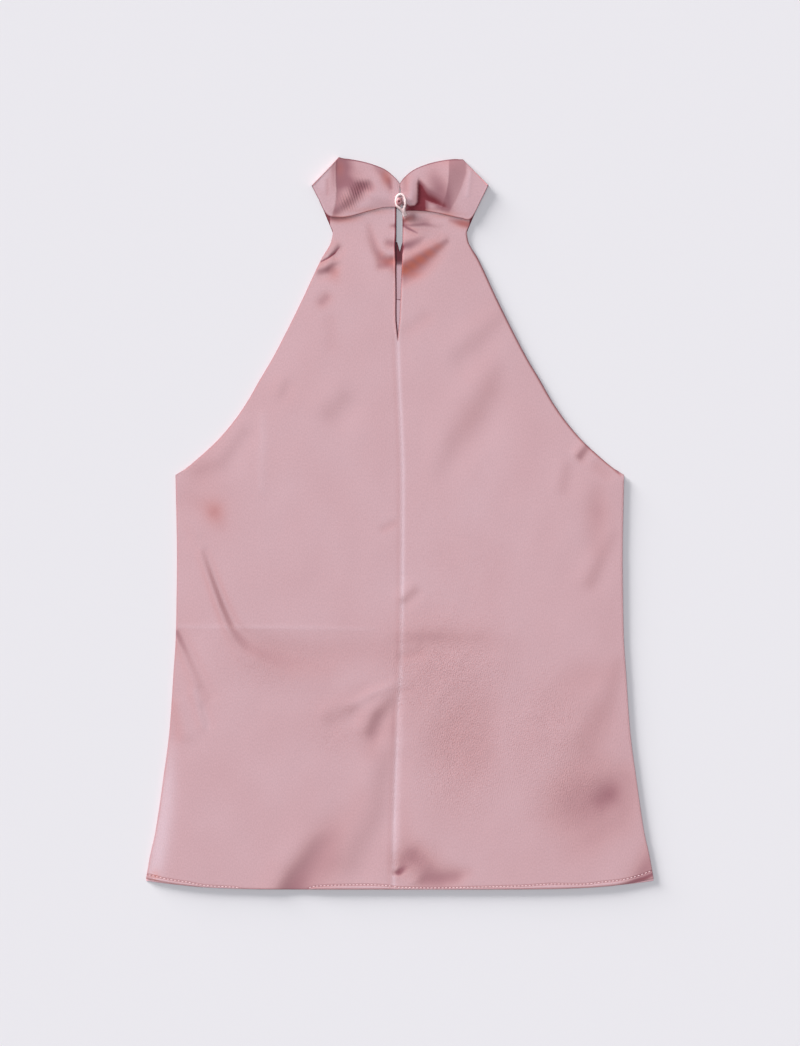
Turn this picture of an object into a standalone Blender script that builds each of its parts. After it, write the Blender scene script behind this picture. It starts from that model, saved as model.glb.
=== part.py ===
"""A satin halter neck top laid flat on its front, so that its back and its fastening show.

The front panel lies on the surface. The two back panels lie on it and meet in a centre back seam,
which opens into a slit under the neck. One band of cloth goes round the neck: it arches over the top
of the back panels in two wings, folds over at each side of the neck and dips underneath to the centre
front. A covered button and a cord loop close it above the slit.

X runs across the garment, Y from its hem to its neck and Z up from the surface it lies on. The tables
below are in millimetres. Their heights are measured up the garment from its hem at the centre.
"""

import math
from collections import namedtuple

import bmesh
import bpy
from mathutils import Vector

MM = 0.001  # the tables' millimetres, in metres

LENGTH = 685.8
UNDERARM_HEIGHT = 388.1
# How much higher a hem is at a side seam than at the centre, and how suddenly it rises.
Hem = namedtuple("Hem", "rise power")
BACK_HEM = Hem(10.0, 6.0)
FRONT_HEM = Hem(8.0, 4.7)
HEM_RISE_FADE = 70.0  # the back's rows over its hem are level again at this height

FRONT_WALL = 1.0
BACK_WALL = 1.0
COLLAR_WALL = 1.2
SEAM_GAP = 0.3

# Row by row up the side seam, and then up the armhole to the neck.
Edge = namedtuple("Edge", "height half_width")
SIDE_SEAM = (
    Edge(10.0, 237.6),
    Edge(32.0, 233.8),
    Edge(55.0, 228.7),
    Edge(102.0, 221.7),
    Edge(149.0, 215.6),
    Edge(196.0, 212.3),
    Edge(243.0, 209.5),
    Edge(313.0, 208.6),
    Edge(365.0, 209.5),
    Edge(UNDERARM_HEIGHT, 210.0),
)
ARMHOLE = (
    Edge(UNDERARM_HEIGHT, 210.0),
    Edge(393.0, 202.0),
    Edge(402.0, 190.8),
    Edge(421.0, 170.2),
    Edge(440.0, 154.2),
    Edge(458.0, 142.0),
    Edge(477.0, 131.2),
    Edge(496.0, 119.9),
    Edge(515.0, 109.8),
    Edge(552.0, 91.4),
    Edge(590.0, 73.6),
    Edge(608.0, 63.8),
    Edge(616.0, 62.6),
    Edge(623.4, 65.2),
    Edge(640.0, 65.4),
)

# The centre back seam, and above it the slit. gap is the clear width between the two back panels.
Opening = namedtuple("Opening", "height middle gap")
CENTRE_BACK = (
    Opening(0.0, -5.4, SEAM_GAP),
    Opening(18.0, -5.7, SEAM_GAP),
    Opening(83.0, -4.4, SEAM_GAP),
    Opening(158.0, -1.6, SEAM_GAP),
    Opening(233.0, 2.1, SEAM_GAP),
    Opening(383.0, 3.0, SEAM_GAP),
    Opening(500.0, -1.3, SEAM_GAP),
    Opening(518.0, -1.7, SEAM_GAP),
    Opening(534.0, -1.6, 3.0),
    Opening(556.0, -1.3, 3.8),
    Opening(586.0, -0.2, 5.8),
    Opening(600.0, 0.0, 6.2),
    Opening(645.0, 0.0, 6.2),
)

# The top edges of the two back panels, tucked under the wings of the collar.
TopEdge = namedtuple("TopEdge", "from_middle left_height right_height")
BACK_TOP_EDGE = (
    TopEdge(0.0, 642.7, 638.2),
    TopEdge(15.0, 642.0, 639.2),
    TopEdge(31.0, 638.6, 638.0),
    TopEdge(43.0, 634.9, 635.2),
    TopEdge(55.0, 632.7, 632.6),
    TopEdge(66.0, 633.6, 631.2),
)

# The rows of faces up a back panel: how many there are from one of these heights to the next.
Stretch = namedtuple("Stretch", "up_to rows")
BACK_ROWS = (Stretch(UNDERARM_HEIGHT, 23), Stretch(600.0, 18), Stretch(LENGTH, 5))
BACK_COLUMNS = 14
TOP_ZONE_HEIGHT = 600.0  # above this the rows bend to follow the top edge
EDGE_ROUNDS = 3  # a point's place depends on the edge's height there, so it is worked out in rounds

# The front panel's outline: the steps of its straight and curved stretches.
NECK_CORNER = 2  # its neckline starts at this section of the under band, where the armhole ends
NECKLINE_STEPS = 4
ARMHOLE_STEPS = 18
SIDE_STEPS = 16
HEM_STEPS = 40

# How high the cloth of the back lies.
BACK_LOFT = 1.7  # it lies this much higher in the middle of a panel than at its edges
BACK_LOFT_RUN = 26.0
SEAM_DIP = 0.7
SEAM_DIP_RUN = 5.0
CLEARANCE = 0.35
BAND_STARTS, BAND_LIFTS = 500.0, 545.0  # between these heights the back climbs onto the front band
LOFT_FADES, LOFT_ENDS = 596.0, 630.0  # and here it settles again, under the collar

# The main folds of the back, from one end to the other. A rise under 0 is a trough.
Fold = namedtuple("Fold", "x0 height0 x1 height1 width rise")
BACK_FOLDS = (
    Fold(43.0, 611.0, 24.0, 598.0, 6.0, -1.2),  # the deep drag line right of the slit
    Fold(24.0, 598.0, 6.0, 585.0, 7.0, -1.6),
    Fold(38.0, 622.0, 8.0, 603.0, 6.0, 1.3),
    Fold(48.0, 600.0, 12.0, 572.0, 10.0, 1.0),
    Fold(16.0, 628.0, 3.0, 618.0, 3.5, -1.1),
    Fold(-29.0, 618.0, -18.0, 591.0, 6.0, -1.0),  # the softer one left of it
    Fold(-18.0, 591.0, -5.0, 587.0, 6.0, -1.1),
    Fold(-40.0, 606.0, -24.0, 580.0, 8.0, 0.8),
    Fold(-72.0, 588.0, -57.0, 597.0, 4.5, -1.3),  # the nick in the left armhole
    Fold(-74.0, 577.0, -54.0, 588.0, 6.0, 0.8),
    Fold(99.0, 538.0, 61.0, 510.0, 15.0, -0.9),
    Fold(94.0, 472.0, 56.0, 412.0, 20.0, -1.3),
    Fold(112.0, 455.0, 84.0, 402.0, 16.0, 0.7),
    Fold(-153.0, 421.0, -166.0, 402.0, 9.0, -1.0),
    Fold(-206.0, 383.0, -176.0, 358.0, 12.0, -1.2),
    Fold(180.0, 355.0, 192.0, 304.0, 12.0, -1.0),
    Fold(-185.0, 308.0, -157.0, 243.0, 8.0, -0.9),
    Fold(-209.0, 238.0, -183.0, 182.0, 8.0, -0.9),
    Fold(202.0, 205.0, 174.0, 140.0, 14.0, -1.1),
    Fold(-51.0, 172.0, -4.0, 189.0, 8.0, 1.0),  # the ripple across the centre back seam
    Fold(-30.0, 150.0, -11.0, 177.0, 8.0, -1.0),
    Fold(195.0, 93.0, 150.0, 51.0, 20.0, -1.6),
    Fold(-60.0, 66.0, -114.0, -4.0, 17.0, -1.8),  # the trough that runs out at the hem
    Fold(-98.0, 64.0, -148.0, 4.0, 16.0, 1.0),
    Fold(34.0, 44.0, 8.0, 16.0, 10.0, -0.9),
)

# The collar from the centre back to the fold at the side of the neck. seam is its lower edge, fold
# its upper one, both seen from above, and the three heights over the surface are of its outer face.
Section = namedtuple("Section", "seam_x seam_height fold_x fold_height seam_z fold_z crown")
LEFT_WING = (
    Section(-3.0, 639.2, -0.5, 660.9, 4.7, 5.4, 0.2),
    Section(-13.8, 639.1, -4.6, 666.6, 4.8, 6.0, 1.6),
    Section(-26.0, 636.4, -13.8, 674.1, 4.8, 6.4, 3.8),
    Section(-37.3, 633.2, -26.0, 679.1, 4.8, 6.4, 4.8),
    Section(-47.6, 630.5, -37.3, 682.1, 4.8, 6.4, 4.6),
    Section(-57.9, 629.6, -46.6, 683.8, 4.8, 6.4, 3.6),
    Section(-66.8, 631.4, -52.2, 684.8, 4.8, 6.4, 2.4),
    Section(-74.6, 645.2, -54.0, 685.0, 5.3, 6.4, 1.2),
)
RIGHT_WING = (
    Section(4.7, 635.8, 0.8, 660.9, 4.7, 5.4, 0.3),
    Section(13.0, 636.0, 4.6, 667.0, 4.8, 6.0, 2.2),
    Section(24.2, 635.5, 13.6, 674.1, 4.8, 6.4, 4.0),
    Section(35.9, 633.6, 25.5, 679.1, 4.8, 6.4, 4.8),
    Section(48.0, 630.8, 37.2, 682.1, 4.8, 6.4, 4.6),
    Section(57.4, 628.9, 47.1, 683.6, 4.8, 6.4, 3.6),
    Section(65.6, 627.7, 53.4, 684.2, 4.8, 6.4, 2.4),
    Section(74.2, 643.6, 55.6, 683.6, 5.3, 6.4, 1.2),
)
# The crest of the fold at the side of the neck, as the outline shows it.
LEFT_CREST = Section(-82.3, 659.1, -57.4, 685.8, 3.2, 3.2, 0.0)
RIGHT_CREST = Section(82.7, 659.4, 59.3, 683.8, 3.2, 3.2, 0.0)
CREST_STEPS = 6
# The half that lies underneath, from that fold to the centre front, the same on both sides.
UNDER_BAND = (
    Section(-75.9, 643.1, -53.0, 680.4, 0.0, 0.0, 0.0),
    Section(-69.8, 630.9, -49.0, 672.4, 0.0, 0.0, 0.0),
    Section(-63.2, 616.9, -43.4, 656.8, 0.0, 0.0, 0.0),
    Section(-56.0, 597.2, -36.0, 636.6, 0.0, 0.0, 0.0),
    Section(-43.8, 576.6, -26.8, 617.8, 0.0, 0.0, 0.0),
    Section(-25.1, 559.7, -14.8, 602.8, 0.0, 0.0, 0.0),
    Section(0.0, 552.2, 0.0, 597.2, 0.0, 0.0, 0.0),
)
COLLAR_ALONG = 84  # two columns of faces from each section to the next
COLLAR_ACROSS = 8

WING_LEVEL = 4.0  # the folds are only in what lies higher than this
COLLAR_FOLDS = (
    Fold(17.5, 661.0, 13.0, 641.0, 4.5, -1.6),  # the tuck beside the loop
    Fold(20.0, 652.0, 33.0, 640.0, 5.0, -1.4),
    Fold(60.0, 682.0, 53.0, 648.0, 6.0, -0.8),
    Fold(-61.0, 679.0, -60.0, 650.0, 5.0, -0.9),
    Fold(-60.0, 650.0, -65.0, 638.0, 5.0, -0.8),
    Fold(-50.0, 662.0, -31.0, 648.0, 7.0, -1.0),
)

BUTTON_X, BUTTON_HEIGHT = -1.2, 644.4
BUTTON_Z = 7.9
BUTTON_HALF_WIDTH, BUTTON_HALF_LENGTH, BUTTON_HALF_THICKNESS = 2.9, 3.9, 1.9
BUTTON_SEGMENTS, BUTTON_RINGS = 16, 8

LOOP_RADIUS = 1.1
# Along the cord: from its end on the right back panel, round the button and back beside itself.
LoopPoint = namedtuple("LoopPoint", "x height z")
LOOP_ROUTE = (
    LoopPoint(5.6, 628.6, 4.5),
    LoopPoint(2.9, 632.6, 4.9),
    LoopPoint(1.4, 636.2, 6.2),
    LoopPoint(-1.6, 637.6, 6.9),
    LoopPoint(-4.9, 640.0, 7.2),
    LoopPoint(-5.7, 644.6, 7.3),
    LoopPoint(-4.3, 648.8, 7.3),
    LoopPoint(-1.0, 650.9, 7.2),
    LoopPoint(2.6, 649.0, 7.3),
    LoopPoint(4.2, 645.0, 7.5),
    LoopPoint(4.2, 640.8, 7.5),
    LoopPoint(4.6, 636.8, 7.2),
    LoopPoint(6.4, 633.0, 5.9),
    LoopPoint(8.6, 629.6, 4.5),
)
LOOP_STEPS = 34

SATIN_ROUGHNESS = 0.34
PANEL_COLOUR = "d1abb2"
COLLAR_COLOUR = "cba5ad"
BUTTON_COLOUR = "c08b94"
CORD_COLOUR = "dcbdbf"


def hermite(here, there, leaving, arriving, part):
    """A cubic from here to there with these slopes at its ends, part of the way along."""
    square, cube = part**2, part**3
    return (
        here * (2 * cube - 3 * square + 1)
        + there * (3 * square - 2 * cube)
        + leaving * (cube - 2 * square + part)
        + arriving * (cube - square)
    )


def on_rows(rows, place):
    """The columns of a table at a place counted in rows, on smooth curves through the rows."""
    last = len(rows) - 1
    start = min(int(place), last - 1)
    near = [rows[min(max(start + step, 0), last)] for step in (-1, 0, 1, 2)]
    return [
        hermite(here, there, (there - before) / 2, (after - here) / 2, place - start)
        for before, here, there, after in zip(*near)
    ]


def at(rows, value):
    """The other columns of a table where its first column has this value, held at its ends."""
    value = min(max(value, rows[0][0]), rows[-1][0])
    start = max(i for i in range(len(rows) - 1) if rows[i][0] <= value)
    span = rows[start + 1][0] - rows[start][0]
    part = (value - rows[start][0]) / span
    found = []
    for column in range(1, len(rows[0])):
        here, there = rows[start][column], rows[start + 1][column]
        tangents = [slope_at(rows, i, column) * span for i in (start, start + 1)]
        found.append(hermite(here, there, *tangents, part))
    return found


def slope_at(rows, row, column):
    """How fast a column changes at a row: the gentler of its slopes on both sides, or 0 at a peak."""
    slopes = []
    for first, second in ((row - 1, row), (row, row + 1)):
        if first >= 0 and second < len(rows):
            rise = rows[second][column] - rows[first][column]
            slopes.append(rise / (rows[second][0] - rows[first][0]))
    if len(slopes) == 1:
        return slopes[0]
    if slopes[0] * slopes[1] <= 0:
        return 0.0
    return 2 * slopes[0] * slopes[1] / (slopes[0] + slopes[1])


def half_width(height):
    return at(SIDE_SEAM if height < UNDERARM_HEIGHT else ARMHOLE, height)[0]


def smooth_step(value, low, high):
    part = min(max((value - low) / (high - low), 0.0), 1.0)
    return part * part * (3 - 2 * part)


def fold_relief(folds, x, height):
    """How far the folds lift or lower the cloth at a point: each fades with the distance to its line."""
    relief = 0.0
    for fold in folds:
        run_x, run_h = fold.x1 - fold.x0, fold.height1 - fold.height0
        along = ((x - fold.x0) * run_x + (height - fold.height0) * run_h) / (run_x**2 + run_h**2)
        along = min(max(along, 0.0), 1.0)
        distance = math.hypot(
            x - fold.x0 - along * run_x, height - fold.height0 - along * run_h
        )
        relief += fold.rise * math.exp(-((distance / fold.width) ** 2))
    return relief


def back_rest(height):
    """The upper face of the back where it lies straight on what is under it."""
    on_panel = FRONT_WALL + CLEARANCE + BACK_WALL
    on_band = COLLAR_WALL + CLEARANCE + BACK_WALL
    return on_panel + (on_band - on_panel) * smooth_step(height, BAND_STARTS, BAND_LIFTS)


def back_surface(x, height):
    """The upper face of the back: lofted between its edges, dipping to the centre seam, and folded."""
    from_edge = max(half_width(height) - abs(x), 0.0)
    loft = BACK_LOFT * (1 - math.exp(-from_edge / BACK_LOFT_RUN))
    loft *= 1 - smooth_step(height, LOFT_FADES, LOFT_ENDS)
    from_seam = (x - at(CENTRE_BACK, height)[0]) / SEAM_DIP_RUN
    dip = SEAM_DIP * math.exp(-(from_seam**2))
    rest = back_rest(height)
    return max(rest + loft - dip + fold_relief(BACK_FOLDS, x, height), rest)


def hem_height(hem, x):
    """The hem rises towards the side seams."""
    return hem.rise * (abs(x) / SIDE_SEAM[0].half_width) ** hem.power


def row_height(row):
    """The height of a row of a back panel's grid, counted from the hem, before it bends with an edge."""
    low = 0.0
    for stretch in BACK_ROWS:
        if row <= stretch.rows:
            return low + (stretch.up_to - low) * row / stretch.rows
        row -= stretch.rows
        low = stretch.up_to
    return low


def back_point(side, u, v):
    """A point of a back panel: u runs from left to right across it and v from the hem to the top."""
    level = row_height(v * sum(stretch.rows for stretch in BACK_ROWS))
    across = u if side > 0 else 1 - u
    bend = max(level - TOP_ZONE_HEIGHT, 0.0) / (LENGTH - TOP_ZONE_HEIGHT)
    level = min(level, TOP_ZONE_HEIGHT)
    risen = max(1 - level / HEM_RISE_FADE, 0.0)
    outer_height = level + BACK_HEM.rise * risen
    middle, gap = at(CENTRE_BACK, level)
    inner = middle + side * gap / 2
    x = inner + (side * half_width(outer_height) - inner) * across
    height = level + hem_height(BACK_HEM, x) * risen
    if bend:
        for _ in range(EDGE_ROUNDS):
            top = at(BACK_TOP_EDGE, abs(x))[0 if side < 0 else 1]
            height = level + (top - level) * bend
            x = inner + (side * half_width(height) - inner) * across
    return x, height, back_surface(x, height)


def crest_sections(crest, way):
    """Sections round the fold at the side of the neck, from the wing's level down to the surface."""
    run = Vector((crest.fold_x - crest.seam_x, crest.fold_height - crest.seam_height)).normalized()
    out = Vector((run.y, -run.x)) * way
    radius = crest.seam_z
    for step in range(CREST_STEPS + 1):
        turn = math.pi * (0.5 - step / CREST_STEPS)
        shift = out * radius * (math.cos(turn) - 1)
        level = radius * (1 + math.sin(turn))
        yield Section(
            crest.seam_x + shift.x,
            crest.seam_height + shift.y,
            crest.fold_x + shift.x,
            crest.fold_height + shift.y,
            level,
            level,
            0.0,
        )


def mirrored(sections):
    return [section._replace(seam_x=-section.seam_x, fold_x=-section.fold_x) for section in sections]


def collar_sections():
    """All sections of the collar, from its right end at the centre back round the neck to its left end."""
    right = [*RIGHT_WING, *crest_sections(RIGHT_CREST, 1), *mirrored(UNDER_BAND)]
    left = [*LEFT_WING, *crest_sections(LEFT_CREST, -1), *UNDER_BAND[:-1]]
    return right + left[::-1]


def collar_point(sections, u, v):
    """A point of the collar's outer face: u runs from its right end to its left one, v from seam to fold."""
    section = Section(*on_rows(sections, u * (len(sections) - 1)))
    x = section.seam_x + (section.fold_x - section.seam_x) * v
    height = section.seam_height + (section.fold_height - section.seam_height) * v
    level = section.seam_z + (section.fold_z - section.seam_z) * v
    arch = (1 - (1 - v) ** 3) * (1 - v**3)
    folds = fold_relief(COLLAR_FOLDS, x, height) * arch if level > WING_LEVEL else 0.0
    return x, height, level + section.crown * arch + folds


def satin(name, colour):
    """A woven satin of this sRGB colour."""
    material = bpy.data.materials.new(name)
    material.use_nodes = True
    shader = material.node_tree.nodes["Principled BSDF"]
    channels = [int(colour[i : i + 2], 16) / 255 for i in (0, 2, 4)]
    linear = [c / 12.92 if c < 0.04045 else ((c + 0.055) / 1.055) ** 2.4 for c in channels]
    shader.inputs["Base Color"].default_value = (*linear, 1.0)
    shader.inputs["Roughness"].default_value = SATIN_ROUGHNESS
    shader.inputs["Metallic"].default_value = 0.0
    return material


def placed(x, height, z):
    """A point of the tables in the part's own frame, whose origin is under the middle of the garment."""
    return Vector((x, height - LENGTH / 2, z)) * MM


def cloth(name, columns, rows, point, wall, material, collection):
    """A sheet of cloth whose outer face goes through point(u, v), with its wall laid inside it."""
    sheet = bmesh.new()
    bmesh.ops.create_grid(sheet, x_segments=columns, y_segments=rows, size=0.5)
    for vert in sheet.verts:
        vert.co = placed(*point(vert.co.x + 0.5, vert.co.y + 0.5))
    mesh = bpy.data.meshes.new(name)
    sheet.to_mesh(mesh)
    sheet.free()
    mesh.shade_smooth()
    mesh.set_sharp_from_angle(angle=math.radians(40))
    piece = bpy.data.objects.new(name, mesh)
    piece.data.materials.append(material)
    collection.objects.link(piece)
    thickness = piece.modifiers.new("wall", "SOLIDIFY")
    thickness.thickness = wall * MM
    thickness.offset = -1.0
    thickness.use_even_offset = False
    return piece


def neckline():
    """The front panel's neckline from left to right, a seam's gap outside the band's lower edge."""
    band = [*UNDER_BAND, *mirrored(UNDER_BAND)[-2::-1]]
    last = len(band) - 1
    points = []
    for i in range((last - 2 * NECK_CORNER) * NECKLINE_STEPS + 1):
        place = NECK_CORNER + i / NECKLINE_STEPS
        here, ahead, behind = (
            Vector(on_rows(band, place + step)[:2]) for step in (0.0, 0.1, -0.1)
        )
        run = ahead - behind
        points.append(here + Vector((run.y, -run.x)).normalized() * SEAM_GAP)
    return [tuple(point) for point in points]


def front_outline():
    """Round the front panel: its neckline, down the right side, the hem and up the left side."""
    neck = neckline()
    top = neck[-1][1]
    heights = [top + (UNDERARM_HEIGHT - top) * i / ARMHOLE_STEPS for i in range(1, ARMHOLE_STEPS)]
    heights += [
        UNDERARM_HEIGHT + (FRONT_HEM.rise - UNDERARM_HEIGHT) * i / SIDE_STEPS
        for i in range(SIDE_STEPS)
    ]
    side = [(half_width(height), height) for height in heights]
    widest = SIDE_SEAM[0].half_width
    hem = [widest * (1 - 2 * i / HEM_STEPS) for i in range(HEM_STEPS + 1)]
    bottom = [(x, hem_height(FRONT_HEM, x)) for x in hem]
    return neck + side + bottom + [(-x, y) for x, y in side[::-1]]


def make_front(material, collection):
    """The front panel, flat on the surface: its outline as a filled curve, as thick as the cloth."""
    outline = bpy.data.curves.new("front_panel", "CURVE")
    outline.dimensions = "2D"
    outline.fill_mode = "BOTH"
    outline.extrude = FRONT_WALL / 2 * MM
    points = front_outline()
    line = outline.splines.new("POLY")
    line.points.add(len(points) - 1)
    for point, (x, height) in zip(line.points, points):
        point.co = (*placed(x, height, 0.0), 1.0)
    line.use_cyclic_u = True
    piece = bpy.data.objects.new("front_panel", outline)
    piece.location.z = FRONT_WALL / 2 * MM
    piece.data.materials.append(material)
    collection.objects.link(piece)


def make_button(material, collection):
    """A small button covered in satin, domed on both sides, on the left end of the collar."""
    ball = bmesh.new()
    bmesh.ops.create_uvsphere(ball, u_segments=BUTTON_SEGMENTS, v_segments=BUTTON_RINGS, radius=MM)
    size = Vector((BUTTON_HALF_WIDTH, BUTTON_HALF_LENGTH, BUTTON_HALF_THICKNESS))
    bmesh.ops.scale(ball, vec=size, verts=ball.verts)
    mesh = bpy.data.meshes.new("button")
    ball.to_mesh(mesh)
    ball.free()
    mesh.shade_smooth()
    piece = bpy.data.objects.new("button", mesh)
    piece.location = placed(BUTTON_X, BUTTON_HEIGHT, BUTTON_Z)
    piece.data.materials.append(material)
    collection.objects.link(piece)


def make_loop(material, collection):
    """The cord loop, a turned tube of satin sewn on at both ends and slipped over the button."""
    cord = bpy.data.curves.new("button_loop", "CURVE")
    cord.dimensions = "3D"
    cord.bevel_depth = LOOP_RADIUS * MM
    cord.bevel_resolution = 2
    cord.use_fill_caps = True
    line = cord.splines.new("POLY")
    line.points.add(LOOP_STEPS)
    for i, point in enumerate(line.points):
        x, height, z = on_rows(LOOP_ROUTE, i * (len(LOOP_ROUTE) - 1) / LOOP_STEPS)
        point.co = (*placed(x, height, z), 1.0)
    piece = bpy.data.objects.new("button_loop", cord)
    piece.data.materials.append(material)
    collection.objects.link(piece)


def main():
    for left_over in list(bpy.data.objects):
        bpy.data.objects.remove(left_over, do_unlink=True)
    top = bpy.data.collections.new("halter_neck_top")
    bpy.context.scene.collection.children.link(top)
    panel_satin = satin("panel_satin", PANEL_COLOUR)
    collar_satin = satin("collar_satin", COLLAR_COLOUR)
    make_front(panel_satin, top)
    rows = sum(stretch.rows for stretch in BACK_ROWS)
    for name, side in (("back_left_panel", -1), ("back_right_panel", 1)):
        cloth(
            name,
            BACK_COLUMNS,
            rows,
            lambda u, v, side=side: back_point(side, u, v),
            BACK_WALL,
            panel_satin,
            top,
        )
    sections = collar_sections()
    cloth(
        "collar",
        COLLAR_ALONG,
        COLLAR_ACROSS,
        lambda u, v: collar_point(sections, u, v),
        COLLAR_WALL,
        collar_satin,
        top,
    )
    make_button(satin("button_satin", BUTTON_COLOUR), top)
    make_loop(satin("cord_satin", CORD_COLOUR), top)


main()
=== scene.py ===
"""A satin halter neck top laid flat on its front, so that its back and its fastening show.

Each panel and the collar is a thin shell of cloth on the form of its solid, with the creases of cloth
that has been folded and worn laid over it. X runs across the garment, Y from its hem to its neck and
Z up. The tables are in millimetres, with heights up the garment from its hem at the centre.
"""

import math
from collections import namedtuple

import bpy
import numpy as np
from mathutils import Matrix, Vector, noise


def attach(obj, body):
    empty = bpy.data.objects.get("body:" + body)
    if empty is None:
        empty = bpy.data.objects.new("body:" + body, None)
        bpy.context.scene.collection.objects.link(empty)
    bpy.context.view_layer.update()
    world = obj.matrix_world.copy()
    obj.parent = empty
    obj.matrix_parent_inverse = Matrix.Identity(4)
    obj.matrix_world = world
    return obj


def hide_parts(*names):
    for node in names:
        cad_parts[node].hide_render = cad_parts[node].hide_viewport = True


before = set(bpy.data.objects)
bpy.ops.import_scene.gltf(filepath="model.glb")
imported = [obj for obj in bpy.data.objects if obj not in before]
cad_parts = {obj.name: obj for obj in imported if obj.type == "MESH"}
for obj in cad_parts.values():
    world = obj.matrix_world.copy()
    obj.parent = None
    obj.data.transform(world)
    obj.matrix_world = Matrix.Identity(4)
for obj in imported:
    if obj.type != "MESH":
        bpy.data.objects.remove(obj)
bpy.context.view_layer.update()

MM = 0.001  # the tables' millimetres, in metres
BODY = "root"

LENGTH = 685.8
UNDERARM_HEIGHT = 388.1
Hem = namedtuple("Hem", "rise power")
BACK_HEM = Hem(10.0, 6.0)
FRONT_HEM = Hem(8.0, 4.7)
HEM_RISE_FADE = 70.0
SEAM_GAP = 0.3

# Row by row up the side seam, and then up the armhole to the neck.
Edge = namedtuple("Edge", "height half_width")
SIDE_SEAM = (
    Edge(10.0, 237.6),
    Edge(32.0, 233.8),
    Edge(55.0, 228.7),
    Edge(102.0, 221.7),
    Edge(149.0, 215.6),
    Edge(196.0, 212.3),
    Edge(243.0, 209.5),
    Edge(313.0, 208.6),
    Edge(365.0, 209.5),
    Edge(UNDERARM_HEIGHT, 210.0),
)
ARMHOLE = (
    Edge(UNDERARM_HEIGHT, 210.0),
    Edge(393.0, 202.0),
    Edge(402.0, 190.8),
    Edge(421.0, 170.2),
    Edge(440.0, 154.2),
    Edge(458.0, 142.0),
    Edge(477.0, 131.2),
    Edge(496.0, 119.9),
    Edge(515.0, 109.8),
    Edge(552.0, 91.4),
    Edge(590.0, 73.6),
    Edge(608.0, 63.8),
    Edge(616.0, 62.6),
    Edge(623.4, 65.2),
    Edge(640.0, 65.4),
)

# The centre back seam, and above it the slit. gap is the clear width between the two back panels.
Opening = namedtuple("Opening", "height middle gap")
CENTRE_BACK = (
    Opening(0.0, -5.4, SEAM_GAP),
    Opening(18.0, -5.7, SEAM_GAP),
    Opening(83.0, -4.4, SEAM_GAP),
    Opening(158.0, -1.6, SEAM_GAP),
    Opening(233.0, 2.1, SEAM_GAP),
    Opening(383.0, 3.0, SEAM_GAP),
    Opening(500.0, -1.3, SEAM_GAP),
    Opening(518.0, -1.7, SEAM_GAP),
    Opening(534.0, -1.6, 3.0),
    Opening(556.0, -1.1, 4.0),
    Opening(586.0, -0.6, 5.4),
    Opening(600.0, -0.3, 6.0),
    Opening(620.0, 0.3, 5.8),
    Opening(645.0, 0.4, 5.7),
)

# The top edges of the two back panels, tucked under the wings of the collar.
TopEdge = namedtuple("TopEdge", "from_middle left_height right_height")
BACK_TOP_EDGE = (
    TopEdge(0.0, 642.7, 638.2),
    TopEdge(15.0, 642.0, 639.2),
    TopEdge(31.0, 638.6, 638.0),
    TopEdge(43.0, 634.9, 635.2),
    TopEdge(55.0, 632.7, 632.6),
    TopEdge(66.0, 633.6, 631.2),
)

# The rows of a back panel's mesh: how many there are from one of these heights to the next.
Stretch = namedtuple("Stretch", "up_to rows")
BACK_ROWS = (
    Stretch(14.0, 20),
    Stretch(UNDERARM_HEIGHT, 176),
    Stretch(500.0, 60),
    Stretch(600.0, 84),
    Stretch(LENGTH, 46),
)
BACK_COLUMNS = 122
COLUMN_CROWDING, CROWDED = 0.98, 6.0  # how much closer, and for how many columns, they lie at the edges
TOP_ZONE_HEIGHT = 600.0
EDGE_ROUNDS = 3  # how often a row is bent to the top edge and the outline in turn
OUTLINE_STEPS = 90

# How high the cloth of the back lies.
BACK_LOFT = 0.9
BACK_LOFT_RUN = 26.0
SEAM_ENDS, SLIT_STARTS = 512.0, 526.0
LAP_FADES, LAP_ENDS = 505.0, 518.0
SINKS_SOFTLY = 0.3  # how gently the lofted cloth settles where a trough would sink it too far
SEAM_DIP = 0.1
SEAM_DIP_RUN = 6.0
SEAM_LAP = 0.8  # the right panel's edge laps this far over the left one's
ON_FRONT, ON_BAND = 3.15, 2.55  # its outer face at the side seams, and under the collar
BAND_STARTS, BAND_LIFTS = 560.0, 622.0
LOFT_FADES, LOFT_ENDS = 596.0, 630.0
CLOTH_WALL = 0.55
EDGE_SHADE = 1.3  # how much more shade is painted on the rims of the cloth and on its inner face along its edges; it takes their sheen too
RIM_FADES = (560.0, 600.0)  # between these heights the rim of a back panel stops reaching down
RIM_WIDTH = 1.0
RIM_BULGE = 0.35  # how far, in walls, a rim stands out round
SHARPEST_SMOOTH = 40.0  # degrees between two faces of cloth that are still shaded as one
COLLAR_HEIGHT = 48.0
FRONT_LEVEL = 1.0
FRONT_ROWS, FRONT_COLUMNS = 150, 130
FRONT_TOP_ZONE = 520.0
FRONT_SPLIT = 0.82  # the share of the front's rows that lie below that zone
FRONT_EDGE_DROP, FRONT_EDGE_WIDTH = 0.12, 1.2
FRONT_CLEARANCE = 0.05  # between the underside of the front and the surface
OUTLINE_STARTS = -20.0

# The unevenness of the cloth: how high its waves are, how long, and which of them these are.
Wave = namedtuple("Wave", "rise length seed")
BROAD_WAVES = Wave(0.22, 62.0, 3.0)
SMALL_WAVES = Wave(0.07, 21.0, 8.0)
FINE_CRUMPLES = Wave(0.06, 6.5, 14.0)
COARSE_CRUMPLES = Wave(0.11, 12.0, 17.0)
SHEEN_WAVES = Wave(0.05, 34.0, 29.0)
PUCKER_DRIFT = Wave(2.5, 40.0, 5.0)
WING_WAVES = Wave(0.1, 15.0, 21.0)
UNWORN = 0.12  # how worn the smoothest cloth is
WORN_LOSS = 0.04  # what of its sheen worn cloth loses
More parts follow.
